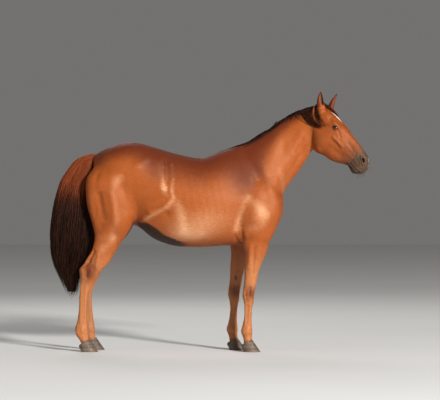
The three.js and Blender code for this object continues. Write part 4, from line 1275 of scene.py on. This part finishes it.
# The mane: locks that cross the crest and lie down the far side, a thin near edge, a few
# strands over the cheek and one short tuft that stands up.
def makeMane():
    rng = np.random.default_rng(mane["seed"])
    n = mane["count"]
    row = 8.6 + 8.6 * rng.uniform(0, 1, n) ** 0.9
    full = ramp((row - 8.2) / 3)
    turn = 90 + rng.uniform(-9, 10, n)
    fall = -(14 + 34 * full * rng.uniform(0.55, 1.15, n)) - (turn - 90)
    drift = rng.normal(-0.7, 0.25, n)
    along = rng.uniform(0, 1, n) < 0.35
    drift, fall = np.where(along, 2.2 * drift, drift), np.where(along, 0.3 * fall, fall)
    swell = 4 + full * rng.uniform(1, 16, n)
    paths, out = crestPaths(body, row, turn, drift, fall, swell, mane["steps"])

    near = mane["near"] // 1
    nearRow = 17 - 8 * rng.uniform(0, 1, near) ** 1.7
    late = ramp((nearRow - 13.2) / 2.5)
    nearTurn = rng.uniform(86, 99, near)
    nearFall = rng.uniform(2, 11, near) + late * rng.uniform(0, 30, near)
    nearDrift = rng.normal(-1.1, 0.25, near) * (1 - 0.7 * late)
    nearSwell = rng.uniform(1.5, 6, near)
    nearPaths, nearOut = crestPaths(body, nearRow, nearTurn, nearDrift, nearFall, nearSwell, mane["steps"])

    # a few strands sag from behind the ear across the cheek to the eye
    cheek = mane["cheek"]
    s = np.linspace(0, 1, mane["steps"])[None, :, None]
    start = np.array([745, -40, 1838]) + rng.normal(0, 1, (cheek, 1, 3)) * [42, 6, 9]
    low = np.array([772, -95, 1690]) + rng.normal(0, 1, (cheek, 1, 3)) * [22, 0, 26]
    finish = np.array([908, -95, 1703]) + rng.normal(0, 1, (cheek, 1, 3)) * [24, 0, 13]
    front = (np.arange(cheek) % 5 < 2)[:, None, None]
    start = np.where(front, [832, -34, 1858] + rng.normal(0, 1, (cheek, 1, 3)) * [10, 6, 5], start)
    low = np.where(front, [822, -88, 1762] + rng.normal(0, 1, (cheek, 1, 3)) * [16, 0, 16], low)
    far = s * rng.uniform(0.3, 1.1, (cheek, 1, 1)) ** 0.7
    sag = start * (1 - far) ** 2 + 2 * low * far * (1 - far) + finish * far ** 2
    cheekPaths, cheekOut = onSkin(toWorld(sag.reshape(-1, 3)))
    cheekLift = 1.5 + 3 * np.sin(pi * s) * rng.uniform(0.3, 1.2, (cheek, 1, 1))
    cheekOut = cheekOut.reshape(cheek, -1, 3)
    cheekPaths = cheekPaths.reshape(cheek, -1, 3) + cheekOut * cheekLift * mm

    # a short tuft that stands up on the crest
    tuft = mane["tuft"]
    tuftRow = rng.normal(12.75, 0.10, tuft)
    tuftPaths, tuftOut = crestPaths(body, tuftRow, 90 + rng.normal(0, 4, tuft), rng.normal(-0.1, 0.12, tuft),
                              rng.normal(-3, 7, tuft), rng.uniform(3, 6, tuft), mane["steps"])
    tuftPaths[..., 2:] += s * rng.uniform(16, 40, (tuft, 1, 1)) * mm
    tuftPaths[..., :1] += s ** 2 * rng.normal(-4, 9, (tuft, 1, 1)) * mm

    paths = sway(np.concatenate([paths, nearPaths, tuftPaths]), rng, 2.6, 0.8)
    paths, out = np.concatenate([paths, cheekPaths]), np.concatenate([out, nearOut, tuftOut, cheekOut])
    rows = np.concatenate([row, nearRow, tuftRow, np.full(cheek, 16.0)])
    turns = np.concatenate([turn, nearTurn, 90 + 0 * tuftRow, rng.uniform(95, 110, cheek)])
    count = len(rows)
    size = rng.uniform(0.6, 1.3, (count, 1)) * taper(mane["steps"])
    size[-cheek:] *= 0.7
    roots = onUnwrap(np.zeros(count), rows, np.radians(turns))
    marks = {"tone": rng.uniform(0, 0.75, count) ** 1.5, "red": rng.uniform(0, 0.3, count)}
    made = makeLocks("mane_locks", paths, out, size * mane["width"], size * mane["thick"], roots, marks,
                     hairMaterial)
    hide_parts("mane")


forelock = {"seed": 8, "count": 330, "steps": 12, "width": 2.2, "thick": 1.1}


# The forelock leaves the poll and lies down the far side of the forehead; a few thin ends
# hang a little clear of the face.
def makeForelock():
    rng = np.random.default_rng(forelock["seed"])
    n = forelock["count"]
    row = rng.uniform(0.0, 0.9, n)
    turn = rng.uniform(66, 106, n)
    end = rng.uniform(1.2, 3.3, n)
    last = 79 - 8 * rng.uniform(-0.4, 1.6, n)
    swell = rng.uniform(4, 20, n)
    paths, out = crestPaths(face, row, turn, end - row, last - turn, swell, forelock["steps"])
    s = np.linspace(0, 1, forelock["steps"])[None, :, None]
    loose = (rng.uniform(0, 1, n) < 0.16)[:, None, None]
    paths = paths + out * loose * np.sin(pi * s) * rng.uniform(4, 14, (n, 1, 1)) * mm
    paths = sway(paths, rng, 5.0)
    size = rng.uniform(0.6, 1.3, (n, 1)) * taper(forelock["steps"])
    roots = onUnwrap(np.ones(n), row, np.radians(turn))
    marks = {"tone": rng.uniform(0, 0.9, n), "red": rng.uniform(0, 0.55, n)}
    made = makeLocks("forelock_locks", paths, out, size * forelock["width"], size * forelock["thick"],
                     roots, marks, hairMaterial)
    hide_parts("forelock")


tail = {
    "seed": 11, "count": 1650, "steps": 14, "width": 4.0, "thick": 1.8, "core": 15.0,
    "rings": 110, "around": 64, "into": 80, "clear": 2, "deepest": 60,
    "table": [  # outer side to inner side, from the root of the dock to the last hairs
        [-868, 1500, -880, 1420, 0, 30, 0.5, 2.0, 2.0], [-950, 1484, -896, 1385, 0, 38, 0.5, 2.0, 2.0],
        [-1025, 1447, -894, 1316, 0, 46, 0.5, 2.0, 2.0], [-1085, 1372, -890, 1225, 0, 56, 0.5, 2.0, 2.0],
        [-1134, 1286, -886, 1135, 0, 70, 0.5, 2.1, 2.1], [-1174, 1160, -878, 1030, 0, 84, 0.5, 2.1, 2.1],
        [-1203, 1020, -874, 930, 0, 92, 0.5, 2.1, 2.1], [-1213, 870, -884, 832, 0, 92, 0.5, 2.1, 2.1],
        [-1204, 745, -918, 733, 0, 84, 0.5, 2.1, 2.1], [-1178, 645, -972, 640, 0, 70, 0.5, 2.1, 2.1],
        [-1138, 548, -1000, 540, 0, 54, 0.5, 2.0, 2.0], [-1105, 468, -1010, 458, 0, 36, 0.5, 2.0, 2.0],
        [-1076, 396, -1046, 396, 0, 12, 0.5, 2.0, 2.0],
    ],
}


# Hair that has sunk just under the skin is moved out along its normal until it clears it, by
# each lock's share.
def clearOfSkin(paths, share):
    spots = paths.reshape(-1, 3)
    ground, out = onSkin(spots)
    depth = ((spots - ground) * out).sum(1)
    share = np.repeat(share, paths.shape[1])
    clear = tail["clear"] * mm
    inside = (depth < clear) & (depth > -tail["deepest"] * mm)
    moved = spots + (clear - depth)[:, None] * out * share[:, None]
    return np.where(inside[:, None], moved, spots).reshape(paths.shape)


# The dock and the heart of the tail are one tube inside the hair; locks leave the dock all
# round and run down the tube's outside to their own ends, some of them deeper in.
def makeTail():
    rng = np.random.default_rng(tail["seed"])
    table = np.array(tail["table"])
    u = np.linspace(-0.6, 11.2, tail["rings"])
    rows = rowsAt(table, np.maximum(u, 0))
    rows[:, [0, 2]] += np.maximum(-u, 0)[:, None] * tail["into"]
    turn = 2 * pi * np.arange(tail["around"]) / tail["around"]
    sink = 4 + (tail["core"] - 4) * ramp((u - 1) / 4)
    furrows = 2.0 * np.sin(turn * 19 + u[:, None]) * ramp(u[:, None] / 3)
    grid = tube(rows, turn, -sink[:, None] - furrows)
    points, faces = shut(toWorld(grid))
    core = meshObject("tail_core", points, faces)
    dock = np.repeat(ramp((3.4 - u) / 2.2), tail["around"])
    addValues(core, {"tone": np.concatenate([0.2 + 0 * dock, [0, 0]]),
                     "red": np.concatenate([dock, [1, 0]]), "share": np.zeros(len(points))})
    core.data.materials.append(hairMaterial)
    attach(core, "root")

    n = tail["count"]
    first = 4.6 * rng.uniform(0, 1, n) ** 0.8
    angle = rng.uniform(0, 360, n)
    length = rng.uniform(4.5, 9.5, n)
    last = np.minimum(first + length, rng.uniform(9.0, 12.0, n))
    deep = -rng.uniform(0, 1, n) ** 1.6 * 14
    s = np.linspace(0, 1, tail["steps"])
    r = first[:, None] + (last - first)[:, None] * s
    spread = angle[:, None] + rng.normal(0, 10, (n, 1)) * s
    high = deep[:, None] - 9 * (1 - ramp(s * 3)) * ramp(first / 2)[:, None] + 3 * np.sin(pi * s)
    flat = rowsAt(table, r.ravel())
    spot = tube(flat, np.radians(spread).reshape(-1, 1), high.reshape(-1, 1))[:, 0]
    above = tube(flat, np.radians(spread).reshape(-1, 1), high.reshape(-1, 1) + 5)[:, 0]
    paths = toWorld(spot).reshape(n, -1, 3)
    out = unit((toWorld(above) - toWorld(spot)).reshape(n, -1, 3))
    paths = clearOfSkin(sway(paths, rng, 13.0, 1.0), ramp((first - 0.4) / 0.8))
    size = rng.uniform(0.5, 1.35, (n, 1)) * taper(tail["steps"], 0.15)
    roots = np.stack([0.02 + 0.96 * first / 12, 0.02 + 0.96 * angle / 360], -1)
    upper = ramp((3.0 - first) / 2.5)
    marks = {"tone": np.clip(rng.uniform(0, 0.9, n) ** 1.3 + 0.25 * upper, 0, 1),
             "red": np.clip(rng.uniform(0.42, 0.66, n) + 0.3 * upper, 0, 1)}
    made = makeLocks("tail_locks", paths, out, size * tail["width"], size * tail["thick"], roots, marks,
                     hairMaterial)
    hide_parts("tail")


makeMane()
makeForelock()
makeTail()
print("long hair")


fine = {
    "seed": 31, "lashes": 34, "whiskers": 90, "inEar": 170, "steps": 6,
    "chestnuts": [  # x, y, height and half length
        (300, -70, 548, 26), (192, 70, 548, 26), (-925, -68, 545, 19), (-890, 68, 545, 19)],
}


# Nearly straight hairs from roots along given ways; they sag with the square of the length.
def strands(roots, ways, length, sag, steps):
    s = np.linspace(0, 1, steps)[None, :, None]
    paths = roots[:, None] + ways[:, None] * s * length[:, None, None] * mm
    paths[..., 2] -= (s ** 2 * (sag * length)[:, None, None] * mm)[..., 0]
    return paths


# Roots on the upper lid's edge, pointing out and up; gives roots, ways, lengths and sags.
def makeLashes(rng):
    groups = []
    for side in (-1, 1):
        a = np.tile(np.linspace(-15, 15, fine["lashes"] // 2), 2) + rng.normal(0, 0.6, fine["lashes"])
        b = eye["upper"] * (1 - (a / eye["long"]) ** 2) ** 0.75 + 0.8
        lid = np.sqrt((eye["radius"] + eye["lid"]) ** 2 - a ** 2 - b ** 2) - 0.6
        roots = eyeSpot(a, b, lid, side)
        groups.append((roots, unit(eyeSpot(a * 1.15, b + 2.5, lid + 10, side) - roots)))
    roots, ways = (np.concatenate(v) for v in zip(*groups))
    return roots, ways, rng.uniform(9, 17, len(roots)), np.full(len(roots), 0.35)


# Roots chosen by chance, mostly on the lips and chin, pointing out and down.
def makeWhiskers(rng):
    f, n = coat["face"], coat["normals"]
    chance = coat["head"] * (ramp((f[:, 0] - 500) / 80) * ramp((20 - f[:, 2]) / 60) + 0.02 * (f[:, 0] > 200))
    chance *= nostrilOval(f)[0] > 1.3
    pick = rng.choice(len(f), fine["whiskers"], replace=False, p=chance / chance.sum())
    ways = unit(n[pick] + rng.normal(0, 0.25, (len(pick), 3)) + [0.1, 0, -0.35])
    length, sag = rng.uniform(14, 48, len(pick)), rng.uniform(0.05, 0.3, len(pick))
    return coat["points"][pick] - n[pick] * mm, ways, length, sag


# Lashes, whiskers and the hair inside the ears as thin locks, and the chestnuts.
def makeFine():
    rng = np.random.default_rng(fine["seed"])
    for name, (roots, ways, length, sag), width in (
            ("lashes", makeLashes(rng), 0.42), ("whiskers", makeWhiskers(rng), 0.36)):
        paths = strands(roots, ways, length, sag, fine["steps"])
        out = np.broadcast_to(np.array([0.3, 0.9, 0.3]), paths.shape)
        size = np.ones((len(roots), 1)) * taper(fine["steps"]) * width
        marks = {"tone": rng.uniform(0, 0.4, len(roots)), "red": np.zeros(len(roots))}
        made = makeLocks(name, paths, out, size, size, np.full((len(roots), 2), 0.5), marks, hairMaterial)

    # the ears: longer hair inside, from near the rims
    for name, scoop in scoops.items():
        n = fine["inEar"]
        t = rng.uniform(0.1, 0.72, n)
        table = np.array(ear["table"])
        share, half, deep, wide = rowsAt(table, np.interp(t, table[:, 0], np.arange(len(table)))).T
        s = rng.choice([-1, 1], n) * rng.uniform(0.5, 0.97, n)
        curl = ear["curl"] * np.sin(pi * np.clip(share, 0, 1))

        def spot(share, s, inset):
            a, b = np.sin(s * wide) * (half - inset), -np.cos(s * wide) * (deep - inset) - curl
            return toWorld(scoop["base"] + share[:, None] * scoop["axis"] + a[:, None] * scoop["across"]
                           + b[:, None] * scoop["forward"])

        roots = spot(share, s, 3.2)
        up, inward = spot(share + 0.1, s, 3.2) - roots, spot(share, s, 9.2) - roots
        up, inward = unit(up), unit(inward)
        ways = unit(up + 0.55 * inward + rng.normal(0, 0.1, (n, 3)))
        length = rng.uniform(12, 26, n) * (1 - 0.4 * t)
        paths = strands(roots, ways, length, np.zeros(n), fine["steps"])
        size = np.full((n, 1), 0.7) * taper(fine["steps"])
        marks = {key: np.zeros(n) for key in coat["marks"]}
        marks |= {"dark": np.full(n, 0.55), "inside": np.full(n, 0.8), "tint": rng.uniform(0, 1, n)}
        onTile = np.stack([0.1 + 0.8 * t, 0.5 + 0.4 * s], -1)
        made = makeLocks(f"{name}_ear_hair", paths, np.broadcast_to(inward[:, None], paths.shape), size,
                         size * 0.5, onTile, marks, coatMaterial)

    # chestnuts: flat ovals of horn inside the forearms and below the hocks
    nets = []
    for x, y, z, tall in fine["chestnuts"]:
        spot, _ = onSkin(toWorld(np.array([[x, y, z]], float)))
        own, net = shut(spot[0] + dome(16, 28) * [9.5 * mm, 4.5 * mm, tall * mm])
        nets.append((own, [corners[:, ::-1] for corners in net]))
    horny = meshObject("chestnuts", *joined(nets))
    horny.data.materials.append(hornMaterial)
    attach(horny, "root")


makeFine()
print("fine hair")


tufts = {
    "seed": 21, "seeds": 27500, "sink": 0.3, "lift": 0.35, "tip": 0.55, "tilt": 0.32,
    "flow": 24, "scatter": 0.16, "ear": 0.07,
    "pieces": [  # name, share of the usual number
        ("coat_head", 1.0), ("coat_neck", 1.0), ("coat_chest", 1.0), ("coat_flanks", 1.0),
        ("coat_quarters", 1.0), ("coat_legs", 1.05),
    ],
}


# Which way the hair lies: back along the body and down its sides, down the legs, and from
# the poll to the muzzle on the face.
def coatFlow():
    flow = coat["found"][:, wayAt].copy()
    sidewards = np.abs(coat["normals"][:, 1]) * (1 - coat["head"]) * (1 - coat["legs"])
    flow[:, 2] -= 0.42 * sidewards
    flow = coat["net"].diffuse(flow, tufts["flow"])
    n = coat["normals"]
    return unit(flow - n * (flow * n).sum(1, keepdims=True))


# Length and width of the tufts in millimetres, and how much they stand off, at each point.
def tuftSizes():
    x, z = coat["still"][:, 0], coat["still"][:, 2]
    f, head, n = coat["face"], coat["head"], coat["normals"]
    length = 24 - 12 * head - 5 * ramp((750 - z) / 350)
    length -= 5.5 * head * ramp((f[:, 0] - 380) / 150)
    a, b, _ = eyeAxes(f)
    nearEye = gauss(np.hypot(a, b), 42) * head
    length *= 1 - 0.45 * nearEye
    # longer hair: jaw, underline, back of the fetlocks, over the hooves
    jaw = head * gauss(f[:, 2] + 215, 50) * gauss(np.abs(f[:, 1]), 60)
    jaw += 0.6 * head * gauss(f[:, 2] + 150, 40) * ramp(-n[:, 2])
    under = ramp((-n[:, 2] - 0.5) / 0.4) * (1 - head) * ramp((z - 700) / 60)
    back = gauss(z - 160, 34) * ((x > 0) * ramp((262 - x) / 18) + (x < 0) * ramp((-985 - x) / 18))
    rim = ramp((118 - z) / 26)
    length *= 1 + 0.9 * jaw + 0.3 * under + 1.3 * back + 0.9 * rim
    stand = 1 + 1.2 * jaw + 0.4 * under + 2.6 * back + 1.2 * rim
    return length, length * 0.115 + 0.55, stand


# One piece of the coat. A tuft is a root just under the skin, a ring of three points over its
# belly and a tip, along the flow and close to the skin. Roots are drawn by area over tuft size.
def addTufts(name, share, weight, flow, length, width, stand, rng, surface=coat):
    points, triangles = surface["points"], surface["triangles"]
    count = int(tufts["seeds"] * share * (1))
    a, b, c = (points[triangles[:, i]] for i in range(3))
    area = 0.5 * np.linalg.norm(np.cross(b - a, c - a), axis=1)
    dense = area * weight[triangles].mean(1) / (length * width)[triangles].mean(1)
    pick = rng.choice(len(triangles), count, p=dense / dense.sum())
    u, v = rng.uniform(0, 1, (2, count))
    over = u + v > 1
    u, v = np.where(over, 1 - u, u), np.where(over, 1 - v, v)
    shares = np.stack([1 - u - v, u, v], -1)
    corner = triangles[pick]

    def at(values):
        weights = shares if values.ndim == 1 else shares[..., None]
        return (values[corner] * weights).sum(1)

    root, n, f = at(points), at(surface["normals"]), at(flow)
    n = unit(n)
    f = f + rng.normal(0, tufts["scatter"], f.shape)
    f = unit(f - n * (f * n).sum(1, keepdims=True))
    side = np.cross(n, f)
    size = rng.uniform(0.7, 1.3, count)
    long, wide, off = (at(v) * size for v in (length, width, stand))
    off = off[:, None] * mm
    half = side * (0.5 * wide * mm)[:, None]
    belly, bellyNormal = onSkin(root + f * (0.4 * long * mm)[:, None], surface)
    tip, tipNormal = onSkin(root + f * (long * mm)[:, None], surface)
    belly = belly + bellyNormal * off * tufts["lift"]
    spots = [root - n * tufts["sink"] * mm, belly - half, belly + bellyNormal * off * 0.45,
             belly + half, tip + tipNormal * off * tufts["tip"]]
    grid = np.stack(spots, 1)
    k = 5 * np.arange(count)[:, None]
    faces = np.concatenate([k + np.array([t]) for t in
                            ([0, 1, 2], [0, 2, 3], [0, 3, 1], [4, 2, 1], [4, 3, 2], [4, 1, 3])])
    thing = meshObject(name, grid.reshape(-1, 3), [faces])
    roots = surface["unwrap"][corner[:, 0]] + rng.uniform(-0.001, 0.001, (count, 2))
    corners = np.array([[-1, 0], [0, -1], [0, 0.2], [0, 1], [1, 0]], float)
    addPatches(thing, count * 5, roots, corners)
    # sleek: each tuft is shaded much as the skin it lies on
    lean = tufts["tilt"] * np.stack([-0.6 * f, -side, 0 * f, side, 0.6 * f], 1)
    shading = np.stack([n, bellyNormal, bellyNormal, bellyNormal, tipNormal], 1) + lean
    thing.data.normals_split_custom_set_from_vertices(unit(shading.reshape(-1, 3)).tolist())
    marks = {key: np.repeat(at(v), 5) for key, v in surface["marks"].items()}
    marks["tint"] = np.repeat(rng.uniform(0.0, 1.0, count), 5)
    addValues(thing, marks)
    thing.data.materials.append(coatMaterial)
    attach(thing, "root")


# Every piece of the coat by its place; eyes, nostrils and mouth stay bare.
def makeCoat():
    rng = np.random.default_rng(tufts["seed"])
    flow = coatFlow()
    length, width, stand = tuftSizes()
    x, z, head = coat["still"][:, 0], coat["still"][:, 2], coat["head"]
    leg = ramp((790 - z) / 30)
    f = coat["face"]
    a, b, _ = eyeAxes(f)
    oval, _ = nostrilOval(f)
    bare = (head > 0.5) & (((almond(a, b) < 1.22) & (np.hypot(a, b) < 40)) |
                           ((oval < 1.15) & (np.abs(f[:, 1]) > 14)) |
                           ((np.abs(f[:, 2] - mouth["up"] + 3) < 5) & (f[:, 0] > mouth["corner"] - 2)))
    hairy = 1 - bare
    trunk = (1 - head) * (1 - leg)
    chest, flank = 110, -430  # where the chest's piece ends, and the flanks'
    weights = {
        "coat_head": head, "coat_neck": trunk * ramp((x - 400) / 20) * ramp((z - 1180) / 30),
        "coat_chest": trunk * (x > chest), "coat_flanks": trunk * (x <= chest) * (x > flank),
        "coat_quarters": trunk * (x <= flank), "coat_legs": leg * (1 - head),
    }
    weights["coat_chest"] = weights["coat_chest"] * (1 - weights["coat_neck"])
    for name, share in tufts["pieces"]:
        addTufts(name, share, weights[name] * hairy + 1e-12, flow, length, width, stand, rng)
    for name, scoop in scoops.items():
        way = toWorld(scoop["base"] + scoop["axis"]) - toWorld(scoop["base"])
        same = np.ones(len(scoop["points"]))
        lie = np.broadcast_to(unit(way), scoop["points"].shape)
        outer = (scoop["marks"]["inside"] < 0.05) + 1e-9
        addTufts(f"{name}_ear_coat", tufts["ear"], outer, lie, 9 * same, 1.5 * same, same, rng, scoop)


makeCoat()
print("short coat")


# The camera's place is in millimetres; its focal length, horizon and frame are in pixels.
camera = {"x": 72.0, "y": -16000.0, "z": 1100.0, "focal": 2104.0, "horizon": 206.0,
          "frame": (440, 400), "sensor": 36, "reach": 60}
lens = bpy.data.cameras.new("camera")
lens.lens = camera["focal"] / camera["frame"][0] * camera["sensor"]
lens.clip_end = camera["reach"]
cameraObject = bpy.data.objects.new("camera", lens)
cameraObject.location = (camera["x"] * mm + place["shift"], camera["y"] * mm, camera["z"] * mm)
tilt = atan2(camera["horizon"] - camera["frame"][1] / 2, camera["focal"])
cameraObject.rotation_euler = (pi / 2 + tilt, 0, 0)
bpy.context.scene.collection.objects.link(cameraObject)
bpy.context.scene.camera = cameraObject

floorMaterial = material("pale floor", {"Specular IOR Level": 0.2}, lambda start: {
    "Base Color": start.noise(0.6, 2.0).mix((0.74, 0.73, 0.71, 1), (0.80, 0.79, 0.77, 1)),
    "Roughness": 0.85 + 0.1 * start.noise(9.0)})
span = 60.0
floor = meshObject("floor", np.array([[-span, -span, 0], [span, -span, 0], [span, span, 0],
                                      [-span, span, 0]]), [np.array([[0, 1, 2, 3]])], False)
floor.data.materials.append(floorMaterial)
lights = [  # name, size, power, place, aimed at
    ("key", 3.4, 10200, (12.0, -21.0, 9.0), (0.0, 0, 1.0)),
    ("fill", 5.0, 80, (-7.0, -6.0, 2.6), (-0.2, 0, 1.0)),
    ("back", 4.0, 130, (-2.0, 6.5, 6.0), (0.0, 0, 1.2)),
]
for name, size, power, spot, aim in lights:
    lamp = bpy.data.lights.new(name, "AREA")
    lamp.shape = "DISK"
    lamp.size = size
    lamp.energy = power
    lampObject = bpy.data.objects.new(name, lamp)
    lampObject.location = spot
    lampObject.rotation_euler = (Vector(aim) - Vector(spot)).to_track_quat("-Z", "Y").to_euler()
    bpy.context.scene.collection.objects.link(lampObject)

studio = {"Color": (1.0, 0.98, 0.95, 1), "Strength": 0.17}
world = bpy.data.worlds.new("studio")
world.use_nodes = True
for key, value in studio.items():
    world.node_tree.nodes["Background"].inputs[key].default_value = value
bpy.context.scene.world = world
bpy.context.scene.view_settings.view_transform = "Standard"
